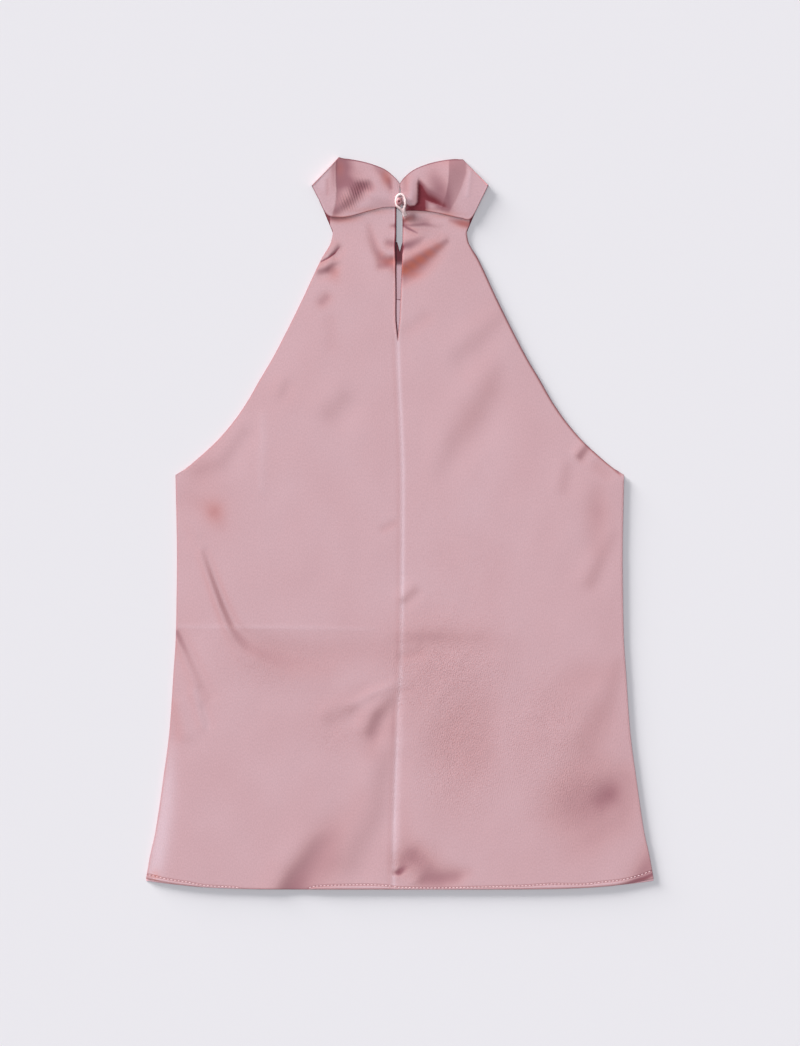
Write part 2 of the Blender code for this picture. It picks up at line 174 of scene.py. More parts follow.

# Lines that follow a seam or an edge: how much they lift the cloth, or how much of its sheen they take and
# how much shade is painted there, how far from the edge they lie, and how wide they are.
Line = namedtuple("Line", "amount away width")
PUFF_STARTS, PUFF_ENDS = (10.0, 30.0), (150.0, 215.0)  # where its puffing fades in and out
PUFF_HOLLOW = Line(-0.08, 0.0, 3.0)
PUFF_SHINE = Line(-0.16, 3.0, 2.6)
SEAM_SHINE = Line(-0.25, 0.0, 2.0)
SEAM_SHADE = Line(0.08, 4.4, 1.8)
UNDER_LAP = Line(-0.03, 0.0, 1.0)
PUCKER_RISE, PUCKER_PITCH, PUCKER_RUN = 0.03, 8.5, 4.0
# painted shade on the back along the lower edges of the collar's wings
UNDER_WING = Line(0.2, 3.4, 1.6)
SLIT_ROLL = Line(1.0, 1.4, 0.8)
SLIT_EDGE = Line(-0.5, 0.0, 0.4)
SLIT_DEEPENS = (586.0, 604.0)  # between these heights the slit goes deep under the collar
SHINE_AWAY, SHINE_WIDTH = 1.0, 0.8
# The rolled edges of the slit: how dark and how wide the shade painted along them is, what both gain where
# the slit is deep, how much shine lies beside it and how high the roll is.
SlitEdge = namedtuple("SlitEdge", "dark darker wide wider shine roll")
LEFT_SLIT_EDGE = SlitEdge(2.4, 1.8, 0.9, 0.7, 0.35, 0.25)
RIGHT_SLIT_EDGE = SlitEdge(0.5, 0.0, 0.35, 0.0, 0.15, 0.0)
HEM_SHOWS = (0.0, 1.2)  # the turned hem fades in while its band widens from one to the other
HEM_PUFF, HEM_SHINE, HEM_PUFF_SPREAD = 0.1, 0.15, 0.3
# The groove under the hem's stitching sinks and has shade painted in it.
HEM_GROOVE, HEM_GROOVE_SHADE, HEM_GROOVE_WIDTH = 0.25, 0.6, 0.6
HEM_EDGE = Line(-0.15, 0.0, 0.5)
ARMHOLE_ROLL, SIDE_ROLL, ROLL_WIDTH = 0.6, 0.1, 0.8
# painted shade along the turned edge of the right armhole
ARMHOLE_SHADE = Line(0.8, 0.0, 0.6)

# Where the cloth is slightly crumpled, and so less glossy.
Area = namedtuple("Area", "x height half_width half_length amount")
CRUMPLED = (
    Area(40.0, 205.0, 60.0, 60.0, 0.9),
    Area(55.0, 140.0, 40.0, 65.0, 1.0),
    Area(150.0, 150.0, 70.0, 60.0, 0.6),
    Area(-110.0, 215.0, 70.0, 30.0, 0.55),
    Area(-60.0, 150.0, 40.0, 30.0, 0.5),
    Area(170.0, 90.0, 45.0, 45.0, 0.9),
    Area(60.0, 300.0, 60.0, 40.0, 0.3),
    Area(14.0, 26.0, 26.0, 20.0, 0.9),
)
# Where the twill of the collar is strained and shows as ribs.
RIBBED = (
    Area(-35.4, 658.0, 9.0, 7.0, 1.0),
    Area(-41.5, 651.5, 9.0, 8.0, 1.0),
    Area(-49.0, 644.0, 9.0, 9.0, 1.0),
)
# Where light comes into a fold from the pink cloth next to it.
WARM = (
    Area(4.9, 580.5, 8.0, 6.0, 1.0),
    Area(11.5, 584.5, 8.0, 6.0, 1.0),
    Area(19.0, 590.0, 8.0, 5.5, 1.0),
    Area(27.4, 596.0, 7.0, 5.5, 0.85),
    Area(35.0, 602.0, 6.0, 4.5, 0.55),
    Area(10.5, 577.0, 9.0, 4.5, 0.6),
    Area(-9.0, 588.5, 10.0, 4.5, 0.5),
    Area(-17.0, 594.0, 5.0, 5.0, 0.25),
    Area(-174.0, 355.0, 11.0, 14.0, 0.4),
    Area(-56.0, 675.0, 4.0, 8.0, 0.25),
    Area(-12.5, 667.0, 5.0, 8.0, 0.55),
    Area(5.0, 666.0, 4.0, 7.0, 0.2),
    Area(-61.5, 578.0, 6.0, 7.0, 0.25),
    Area(-26.0, 635.5, 16.0, 3.0, 0.6),
    Area(-51.0, 628.5, 14.0, 4.0, 0.5),
    Area(20.0, 635.0, 16.0, 2.5, 0.5),
    Area(42.0, 631.5, 14.0, 2.8, 0.6),
    Area(60.0, 624.0, 11.0, 5.0, 0.5),
    Area(-229.0, 13.0, 4.0, 5.0, 0.7),
    Area(7.5, 628.0, 7.0, 4.0, 0.5),
)

# The creases. Rows with one name follow one another along a crease. A fold lifts or, with a rise under
# 0, sinks the cloth along its line. A fall is a slope: the cloth drops across it to the right of the
# crease's way. A tuck is a ledge with a hollow to its right, and a facet falls from a sharp ridge on
# its left. dull is the share of its sheen that the cloth loses there, and the shade painted
# into its colour: under 0 it is pressed shinier, from about 0.15 shade is painted on it in mauve, and
# towards 2 in maroon.
Crease = namedtuple("Crease", "name kind x height width rise dull")
# Across a crease, in its widths from its line: where a facet's ridge rises, its shade ends, and its
# slope runs; and, in millimetres, where a tuck's ledge drops.
FACET_RIDGE, FACET_SHADE_ENDS, FACET_SLOPE = (-1.1, -0.95), (0.75, 1.15), (-1.6, 1.2)
FACET_TOE = 1.5
TUCK_LEDGE = (-0.3, 0.6)
BACK_CREASES = (
    Crease("drag_right", "fall", 1.6, 580.8, 6.9, 0.60, 0.95),
    Crease("drag_right", "fall", 9.6, 584.1, 7.1, 0.70, 0.82),
    Crease("drag_right", "fall", 19.9, 590.6, 6.6, 0.60, 0.72),
    Crease("drag_right", "fall", 31.2, 598.1, 5.5, 0.40, 0.55),
    Crease("drag_right", "fall", 43.4, 607.0, 3.6, 0.20, 0.34),
    Crease("drag_right_lower", "fold", 3.0, 570.0, 5.6, -0.20, 0.30),
    Crease("drag_right_lower", "fold", 15.2, 576.6, 5.6, -0.20, 0.25),
    Crease("drag_right_lower", "fold", 30.2, 585.9, 5.6, -0.10, 0.15),
    Crease("drag_right_lower", "fold", 41.5, 595.3, 4.7, -0.05, 0.05),
    Crease("gather_right_top", "fall", 2.1, 625.3, 2.2, 0.40, 1.10),
    Crease("gather_right_top", "fall", 5.9, 627.2, 2.6, 0.50, 0.65),
    Crease("gather_right_top", "fall", 11.5, 630.5, 3.4, 0.30, 0.35),
    Crease("gather_right_mid", "fall", 2.1, 623.0, 1.4, 0.30, 0.50),
    Crease("gather_right_mid", "fall", 10.5, 622.0, 1.5, 0.30, 0.45),
    Crease("gather_right_mid", "fall", 22.7, 622.9, 2.1, 0.20, 0.40),
    Crease("gather_right_mid", "fall", 37.7, 620.6, 2.8, 0.10, 0.12),
    Crease("gather_right_soft", "fold", 13.4, 628.1, 4.2, -0.15, 0.35),
    Crease("gather_right_soft", "fold", 25.5, 626.2, 4.2, -0.15, 0.25),
    Crease("gather_right_red", "fall", 2.6, 622.0, 1.1, 0.25, 0.80),
    Crease("gather_right_red", "fall", 8.7, 618.8, 1.2, 0.30, 0.90),
    Crease("gather_right_red", "fall", 16.2, 615.0, 1.2, 0.10, 0.40),
    Crease("gather_right_low", "fall", 2.1, 602.8, 4.3, 0.25, 0.65),
    Crease("gather_right_low", "fall", 8.7, 603.6, 4.9, 0.30, 0.60),
    Crease("gather_right_low", "fall", 17.1, 607.5, 4.5, 0.20, 0.40),
    Crease("gather_right_low", "fall", 24.6, 612.2, 3.8, 0.10, 0.10),
    Crease("slit_nick_right", "fold", 1.6, 597.2, 1.5, -0.40, 1.80),
    Crease("slit_nick_right", "fold", 3.0, 601.9, 1.4, -0.30, 1.20),
    Crease("drag_left", "fold", -28.8, 621.6, 3.2, -0.20, 0.15),
    Crease("drag_left", "fold", -26.0, 610.3, 3.8, -0.40, 0.28),
    Crease("drag_left", "fold", -22.3, 599.1, 3.9, -0.50, 0.38),
    Crease("drag_left", "fold", -17.6, 591.6, 4.3, -0.70, 0.50),
    Crease("drag_left", "fold", -11.0, 588.8, 4.5, -0.80, 0.60),
    Crease("drag_left", "fold", -3.5, 590.2, 4.3, -0.80, 0.65),
    Crease("drag_left_low", "fold", -18.5, 584.1, 4.1, -0.20, 0.40),
    Crease("drag_left_low", "fold", -9.1, 584.1, 4.1, -0.20, 0.28),
    Crease("slit_dimple_left", "fold", -10.1, 605.6, 4.2, -0.35, 0.45),
    Crease("slit_dimple_left", "fold", -4.5, 604.7, 4.2, -0.30, 0.60),
    Crease("slit_dimple_top", "fold", -7.7, 621.6, 2.1, -0.30, 0.30),
    Crease("slit_dimple_top", "fold", -3.7, 621.6, 2.4, -0.30, 0.90),
    Crease("under_wing_left", "fold", -65.4, 629.1, 2.8, -0.30, 0.70),
    Crease("under_wing_left", "fold", -57.9, 627.7, 3.2, -0.20, 0.50),
    Crease("under_wing_left", "fold", -46.6, 629.1, 3.0, -0.10, 0.30),
    Crease("under_wing_left", "fold", -35.4, 631.9, 2.6, 0.00, 0.15),
    Crease("under_wing_right", "fold", 47.1, 627.2, 2.3, 0.00, 0.30),
    Crease("under_wing_right", "fold", 57.4, 624.4, 3.3, -0.20, 0.70),
    Crease("under_wing_right", "fold", 64.9, 622.5, 3.3, -0.30, 0.80),
    Crease("armhole_nick", "tuck", -57.0, 600.0, 1.5, 0.30, 0.50),
    Crease("armhole_nick", "tuck", -60.7, 595.3, 1.4, 0.90, 1.70),
    Crease("armhole_nick", "tuck", -66.3, 591.1, 1.3, 0.90, 1.90),
    Crease("armhole_nick", "tuck", -72.9, 587.8, 1.1, 0.70, 1.60),
    Crease("armhole_nick_top", "fall", -62.6, 595.3, 3.8, 0.40, 0.25),
    Crease("armhole_nick_top", "fall", -57.9, 601.9, 3.8, 0.30, 0.30),
    Crease("armhole_nick_under", "fall", -74.8, 578.4, 3.8, 0.35, 0.40),
    Crease("armhole_nick_under", "fall", -68.2, 580.3, 4.1, 0.60, 0.52),
    Crease("armhole_nick_under", "fall", -62.6, 585.0, 3.8, 0.35, 0.32),
    Crease("armhole_nick_under", "fall", -56.0, 587.8, 2.8, 0.10, 0.10),
    Crease("armhole_nick_warm", "fold", -61.6, 578.4, 4.7, -0.10, 0.25),
    Crease("armhole_nick_warm", "fold", -59.8, 570.9, 4.7, -0.10, 0.10),
    Crease("left_spot_high", "fold", -72.9, 550.3, 5.6, -0.25, 0.30),
    Crease("left_spot_high", "fold", -69.1, 554.1, 5.6, -0.25, 0.30),
    Crease("left_streak_high", "fold", -64.5, 533.4, 6.6, -0.10, 0.06),
    Crease("left_streak_high", "fold", -63.5, 510.0, 6.6, -0.10, 0.06),
    Crease("left_spot_mid", "fall", -111.3, 464.1, 5.6, 0.15, 0.06),
    Crease("left_spot_mid", "fall", -107.6, 473.4, 5.6, 0.15, 0.06),
    Crease("left_blob", "fall", -65.4, 447.2, 11.2, 0.30, 0.07),
    Crease("left_blob", "fall", -53.2, 460.3, 11.2, 0.28, 0.06),
    Crease("armhole_left_low", "fall", -191.0, 392.8, 9.4, 0.20, 0.09),
    Crease("armhole_left_low", "fall", -166.6, 400.3, 8.4, 0.22, 0.10),
    Crease("armhole_left_low", "fall", -147.0, 428.4, 7.5, 0.22, 0.08),
    Crease("streak_left", "fold", -129.1, 444.4, 4.2, 0.10, -0.06),
    Crease("streak_left", "fold", -129.1, 411.6, 4.5, 0.10, -0.08),
    Crease("streak_left", "fold", -130.1, 375.9, 4.2, 0.10, -0.05),
    Crease("underarm_left", "fold", -200.4, 367.5, 6.6, -0.05, 0.03),
    Crease("underarm_left", "fold", -181.6, 359.1, 7.5, -0.10, 0.12),
    Crease("underarm_left", "fold", -174.1, 353.4, 8.4, -0.15, 0.26),
    Crease("underarm_left", "fold", -167.6, 342.2, 7.5, -0.05, 0.10),
    Crease("underarm_left_low", "fall", -209.8, 350.6, 5.6, 0.20, -0.05),
    Crease("underarm_left_low", "fall", -196.6, 331.9, 6.6, 0.15, 0.00),
    Crease("long_crease_left", "fall", -184.5, 315.9, 3.0, -0.20, 0.12),
    Crease("long_crease_left", "fall", -176.0, 291.6, 3.0, -0.45, 0.25),
    Crease("long_crease_left", "fall", -166.6, 266.2, 3.4, -0.55, 0.28),
    Crease("long_crease_left", "fall", -157.3, 244.7, 4.2, -0.50, 0.25),
    Crease("long_crease_left", "fall", -142.3, 225.9, 7.5, -0.35, 0.16),
    Crease("long_crease_left", "fall", -107.6, 209.1, 11.2, -0.20, 0.12),
    Crease("long_crease_left", "fall", -70.1, 203.4, 11.2, -0.10, 0.08),
    Crease("side_left", "fall", -208.8, 240.9, 3.0, -0.40, 0.45),
    Crease("side_left", "fall", -198.5, 219.4, 3.8, -0.35, 0.20),
    Crease("side_left", "fall", -181.6, 180.0, 5.6, -0.25, 0.10),
    Crease("side_left_low", "fall", -213.5, 171.6, 6.6, 0.30, 0.12),
    Crease("side_left_low", "fall", -207.9, 144.4, 7.5, 0.30, 0.08),
    Crease("side_light", "fall", -191.0, 184.7, 3.8, -0.20, -0.06),
    Crease("side_light", "fall", -181.6, 153.8, 3.8, -0.20, -0.04),
    Crease("press_crease", "fold", -207.9, 246.1, 2.1, 0.10, -0.10),
    Crease("press_crease", "fold", -102.9, 245.2, 2.1, 0.10, -0.09),
    Crease("press_crease", "fold", -24.1, 243.8, 2.1, 0.05, -0.05),
    Crease("press_below", "fold", -153.5, 233.4, 7.5, -0.12, 0.08),
    Crease("press_below", "fold", -102.9, 222.2, 13.1, -0.20, 0.09),
    Crease("press_below", "fold", -26.0, 222.2, 15.0, -0.20, 0.10),
    Crease("press_below", "fold", -3.5, 219.4, 13.1, -0.10, 0.10),
    Crease("press_band_right", "fall", 2.1, 235.3, 8.4, 0.12, 0.10),
    Crease("press_band_right", "fall", 17.1, 236.2, 8.4, 0.25, 0.14),
    Crease("press_band_right", "fall", 37.7, 236.2, 8.4, 0.22, 0.15),
    Crease("press_band_right", "fall", 65.9, 236.2, 9.4, 0.12, 0.10),
    Crease("press_band_right", "fall", 112.7, 228.8, 9.4, 0.00, 0.03),
    Crease("mark_1", "fold", -14.8, 337.5, 3.8, -0.16, 0.12),
    Crease("mark_1", "fold", -5.4, 342.2, 3.8, -0.16, 0.12),
    Crease("mark_2", "fall", 4.0, 270.9, 4.7, 0.25, 0.12),
    Crease("mark_2", "fall", 13.4, 279.4, 5.1, 0.20, 0.10),
    Crease("mark_3", "fold", 3.0, 217.5, 4.7, -0.20, 0.12),
    Crease("mark_3", "fold", 19.0, 222.2, 5.6, -0.20, 0.12),
    Crease("mark_4", "fold", 2.1, 184.7, 4.1, -0.15, 0.10),
    Crease("mark_4", "fold", 11.5, 187.5, 4.7, -0.10, 0.05),
    Crease("short_fold", "fall", -27.9, 148.1, 7.5, 0.35, 0.10),
    Crease("short_fold", "fall", -21.3, 162.2, 7.5, 0.50, 0.15),
    Crease("short_fold", "fall", -9.1, 177.2, 7.0, 0.30, 0.08),
    Crease("short_fold_shade", "fold", -27.0, 128.4, 10.3, -0.20, 0.12),
    Crease("short_fold_shade", "fold", -24.1, 147.2, 10.3, -0.20, 0.20),
    Crease("short_fold_shade", "fold", -19.5, 162.2, 9.4, -0.10, 0.12),
    Crease("short_fold_ridge", "fold", -46.6, 171.6, 4.7, 0.20, 0.00),
    Crease("short_fold_ridge", "fold", -26.0, 183.8, 4.7, 0.35, -0.03),
    Crease("short_fold_ridge", "fold", -4.5, 192.2, 4.7, 0.25, -0.04),
    Crease("above_short_fold", "fold", -67.3, 176.2, 9.4, -0.05, 0.05),
    Crease("above_short_fold", "fold", -51.3, 180.9, 9.4, -0.05, 0.10),
    Crease("above_short_fold", "fold", -35.4, 187.5, 7.5, -0.05, 0.05),
    Crease("beside_seam", "fold", -8.2, 128.4, 7.5, -0.10, 0.06),
    Crease("beside_seam", "fold", -6.3, 150.0, 7.5, -0.15, 0.16),
    Crease("beside_seam", "fold", -4.5, 167.8, 6.6, -0.10, 0.10),
    Crease("beside_seam_low", "fold", 5.9, 36.6, 8.4, -0.05, 0.08),
    Crease("beside_seam_low", "fold", 4.9, 55.3, 8.4, -0.05, 0.12),
    Crease("beside_seam_low", "fold", 4.0, 77.8, 7.5, -0.05, 0.05),
    Crease("underarm_left_wide", "fold", -202.3, 362.8, 16.9, -0.10, 0.07),
    Crease("underarm_left_wide", "fold", -183.5, 383.4, 16.9, -0.10, 0.09),
    Crease("underarm_left_wide", "fold", -162.9, 372.2, 15.9, -0.10, 0.06),
    Crease("pale_hollow", "fall", -65.4, 160.3, 8.4, 0.25, 0.06),
    Crease("pale_hollow", "fall", -46.6, 168.8, 8.4, 0.25, 0.07),
    Crease("hem_trough", "fold", -103.8, -9.4, 14.1, -0.75, 0.50),
    Crease("hem_trough", "fold", -95.4, 8.4, 13.6, -0.65, 0.42),
    Crease("hem_trough", "fold", -82.3, 30.0, 13.1, -0.35, 0.27),
    Crease("hem_trough", "fold", -68.2, 53.4, 12.2, -0.15, 0.17),
    Crease("hem_trough", "fold", -59.8, 69.4, 11.2, -0.05, 0.05),
    Crease("hem_trough_left", "fold", -129.1, -4.7, 11.2, -0.05, 0.05),
    Crease("hem_trough_left", "fold", -118.8, 19.7, 11.2, -0.05, 0.06),
    Crease("hem_trough_fall", "fall", -111.3, -9.4, 11.2, 0.60, 0.12),
    Crease("hem_trough_fall", "fall", -100.1, 14.1, 11.2, 0.40, 0.06),
    Crease("hem_trough_fall", "fall", -78.5, 44.1, 9.4, 0.20, 0.03),
    Crease("hem_trough_side", "fold", -85.1, -9.4, 12.2, -0.15, 0.16),
    Crease("hem_trough_side", "fold", -72.9, 8.4, 13.1, -0.20, 0.16),
    Crease("hem_trough_side", "fold", -61.6, 30.9, 14.1, -0.20, 0.20),
    Crease("hem_trough_side", "fold", -51.3, 57.2, 14.1, -0.15, 0.15),
    Crease("hem_trough_side", "fold", -37.3, 83.4, 12.2, -0.10, 0.07),
    Crease("hem_swell", "fall", -46.6, 25.3, 13.1, 0.40, 0.05),
    Crease("hem_swell", "fall", -22.3, 72.2, 13.1, 0.40, 0.06),
    Crease("hem_swell", "fall", -14.8, 120.9, 11.2, 0.30, 0.06),
    Crease("hem_dot", "fold", -4.5, 15.5, 2.2, -0.20, 0.60),
    Crease("hem_dot", "fold", -1.2, 15.9, 2.6, -0.30, 1.10),
    Crease("hem_dot", "fold", 4.0, 19.7, 3.0, -0.10, 0.30),
    Crease("hem_mark_high", "fold", 3.0, 25.3, 9.4, -0.35, 0.30),
    Crease("hem_mark_high", "fold", 13.4, 30.0, 11.2, -0.35, 0.36),
    Crease("hem_mark_high", "fold", 26.5, 21.6, 9.4, -0.25, 0.24),
    Crease("hem_mark_wide", "fold", 22.7, 8.4, 8.4, -0.45, 0.40),
    Crease("hem_mark_wide", "fold", 37.7, 9.4, 9.4, -0.60, 0.44),
    Crease("hem_mark_wide", "fold", 52.7, 12.2, 8.4, -0.40, 0.36),
    Crease("hem_mark_wide", "fold", 64.0, 15.9, 5.6, -0.10, 0.12),
    Crease("hem_light", "fold", 11.5, 6.6, 3.8, 0.20, -0.05),
    Crease("hem_light", "fold", 18.0, 10.3, 3.8, 0.20, -0.05),
    Crease("blob_right_low", "fold", 159.6, 62.8, 18.8, -0.35, 0.14),
    Crease("blob_right_low", "fold", 179.3, 75.9, 18.8, -0.50, 0.24),
    Crease("blob_right_low", "fold", 195.2, 89.1, 15.9, -0.75, 0.40),
    Crease("blob_right_low", "fold", 206.5, 104.1, 14.1, -0.40, 0.20),
    Crease("blob_right_heart", "fold", 188.7, 83.4, 8.4, -0.15, 0.12),
    Crease("blob_right_heart", "fold", 199.0, 90.9, 8.4, -0.15, 0.14),
    Crease("blob_right_tail", "fold", 146.5, 72.2, 20.6, -0.15, 0.10),
    Crease("blob_right_tail", "fold", 167.1, 96.6, 18.8, -0.20, 0.12),
    Crease("blob_right_tail", "fold", 185.9, 117.2, 15.0, -0.15, 0.10),
    Crease("blob_right_under", "fold", 161.5, 34.7, 15.9, -0.10, 0.10),
    Crease("blob_right_under", "fold", 180.2, 44.1, 15.9, -0.15, 0.15),
    Crease("blob_right_under", "fold", 208.4, 62.8, 13.1, -0.15, 0.14),
    Crease("blob_right_under", "fold", 219.6, 89.1, 10.3, -0.15, 0.14),
    Crease("blob_right_under", "fold", 215.9, 113.4, 8.4, -0.10, 0.06),
    Crease("side_right_soft", "fold", 146.5, 171.6, 16.9, -0.10, 0.06),
    Crease("side_right_soft", "fold", 161.5, 194.1, 16.9, -0.15, 0.09),
    Crease("side_right_soft", "fold", 193.4, 203.4, 13.1, -0.10, 0.10),
    Crease("side_right_low", "fall", 174.6, 135.9, 13.1, 0.16, 0.06),
    Crease("side_right_low", "fall", 185.9, 156.6, 12.2, 0.20, 0.08),
    Crease("side_right_low", "fall", 197.1, 180.9, 10.3, 0.20, 0.07),
    Crease("side_right_low", "fall", 206.5, 210.9, 8.4, 0.15, 0.05),
    Crease("side_right_band", "fold", 152.1, 92.8, 16.9, -0.15, 0.08),
    Crease("side_right_band", "fold", 170.9, 128.4, 16.9, -0.20, 0.10),
    Crease("side_right_band", "fold", 185.9, 162.2, 13.1, -0.15, 0.07),
    Crease("valley_right", "fall", 37.7, 392.8, 10.3, 0.15, 0.03),
    Crease("valley_right", "fall", 52.7, 422.8, 13.1, 0.35, 0.09),
    Crease("valley_right", "fall", 71.5, 447.2, 15.0, 0.45, 0.16),
    Crease("valley_right", "fall", 83.7, 467.8, 13.1, 0.35, 0.12),
    Crease("valley_right", "fall", 90.2, 484.7, 9.4, 0.15, 0.04),
    Crease("valley_right_high", "fall", 54.6, 499.7, 10.3, 0.22, 0.04),
    Crease("valley_right_high", "fall", 65.9, 509.1, 11.2, 0.28, 0.06),
    Crease("valley_right_high", "fall", 80.9, 522.2, 9.4, 0.20, 0.04),
    Crease("valley_right_high", "fall", 94.0, 535.3, 7.5, 0.12, 0.04),
    Crease("soft_mid_high", "fold", 7.7, 524.1, 6.6, -0.15, 0.06),
    Crease("soft_mid_high", "fold", 24.6, 535.3, 7.5, -0.20, 0.08),
    Crease("armhole_right_low", "fall", 169.0, 405.9, 4.1, 0.35, 0.40),
    Crease("armhole_right_low", "fall", 175.5, 414.4, 4.1, 0.30, 0.35),
    Crease("armhole_right_mark", "fall", 153.0, 375.9, 6.6, 0.15, 0.05),
    Crease("armhole_right_mark", "fall", 156.8, 394.7, 6.6, 0.15, 0.05),
    Crease("underarm_right", "fold", 185.9, 322.5, 11.2, -0.30, 0.12),
    Crease("underarm_right", "fold", 185.9, 353.4, 11.2, -0.35, 0.18),
    Crease("underarm_right", "fold", 186.8, 372.2, 8.4, -0.20, 0.08),
    Crease("underarm_right_edge", "fold", 185.9, 396.6, 5.6, -0.20, 0.12),
    Crease("underarm_right_edge", "fold", 195.2, 389.1, 5.6, -0.20, 0.10),
    Crease("side_right", "fall", 178.4, 287.8, 7.5, 0.20, 0.07),
    Crease("side_right", "fall", 190.5, 313.1, 7.5, 0.20, 0.06),
    Crease("side_right", "fall", 200.9, 330.9, 6.6, 0.12, 0.03),
    Crease("mottle_right", "fold", 37.7, 104.1, 18.8, 0.00, 0.00),
    Crease("mottle_right", "fold", 45.2, 135.0, 17.8, -0.25, 0.10),
    Crease("mottle_right", "fold", 54.6, 163.1, 16.9, -0.25, 0.12),
    Crease("mottle_right", "fold", 67.7, 186.6, 16.9, -0.10, 0.06),
    Crease("mottle_right", "fold", 75.2, 207.2, 15.0, 0.00, 0.00),
    Crease("mottle_right_2", "fold", 71.5, 92.8, 15.0, 0.00, 0.00),
    Crease("mottle_right_2", "fold", 77.1, 130.3, 15.0, -0.20, 0.10),
    Crease("mottle_right_2", "fold", 80.9, 167.8, 14.1, -0.20, 0.08),
    Crease("mottle_right_2", "fold", 84.6, 195.9, 13.1, 0.00, 0.00),
    Crease("pale_mid_right", "fold", 58.4, 385.3, 20.6, 0.05, -0.02),
    Crease("pale_mid_right", "fold", 62.1, 350.6, 22.5, 0.05, -0.05),
    Crease("pale_mid_right", "fold", 59.3, 306.6, 20.6, 0.05, -0.02),
    Crease("corner_right", "fold", 222.4, 2.8, 9.4, -0.30, 0.42),
    Crease("corner_right", "fold", 231.8, 19.7, 9.4, -0.30, 0.44),
    Crease("corner_right", "fold", 235.5, 36.6, 8.4, -0.20, 0.22),
    Crease("hem_right_line", "fold", 206.5, 3.9, 1.5, -0.10, 0.35),
    Crease("hem_right_line", "fold", 219.6, 7.5, 1.7, -0.20, 0.70),
    Crease("hem_right_line", "fold", 229.9, 10.5, 1.7, -0.20, 0.85),
    Crease("hem_right_line", "fold", 237.0, 14.1, 1.7, -0.20, 0.80),
    Crease("corner_left_patch", "fold", -236.5, 12.2, 2.8, 0.00, 0.50),
    Crease("corner_left_patch", "fold", -233.2, 11.2, 2.2, 0.00, 0.40),
    Crease("corner_left_light", "fold", -234.1, 4.7, 9.4, 0.00, -0.30),
    Crease("corner_left_light", "fold", -227.6, 27.2, 9.8, 0.10, -0.36),
    Crease("corner_left_light", "fold", -222.0, 64.7, 9.8, 0.10, -0.34),
    Crease("corner_left_light", "fold", -218.2, 97.5, 8.4, 0.10, -0.30),
    Crease("corner_left_light", "fold", -215.4, 125.6, 6.6, 0.05, -0.15),
    Crease("corner_left_light", "fold", -213.5, 144.4, 5.6, 0.00, 0.00),
)
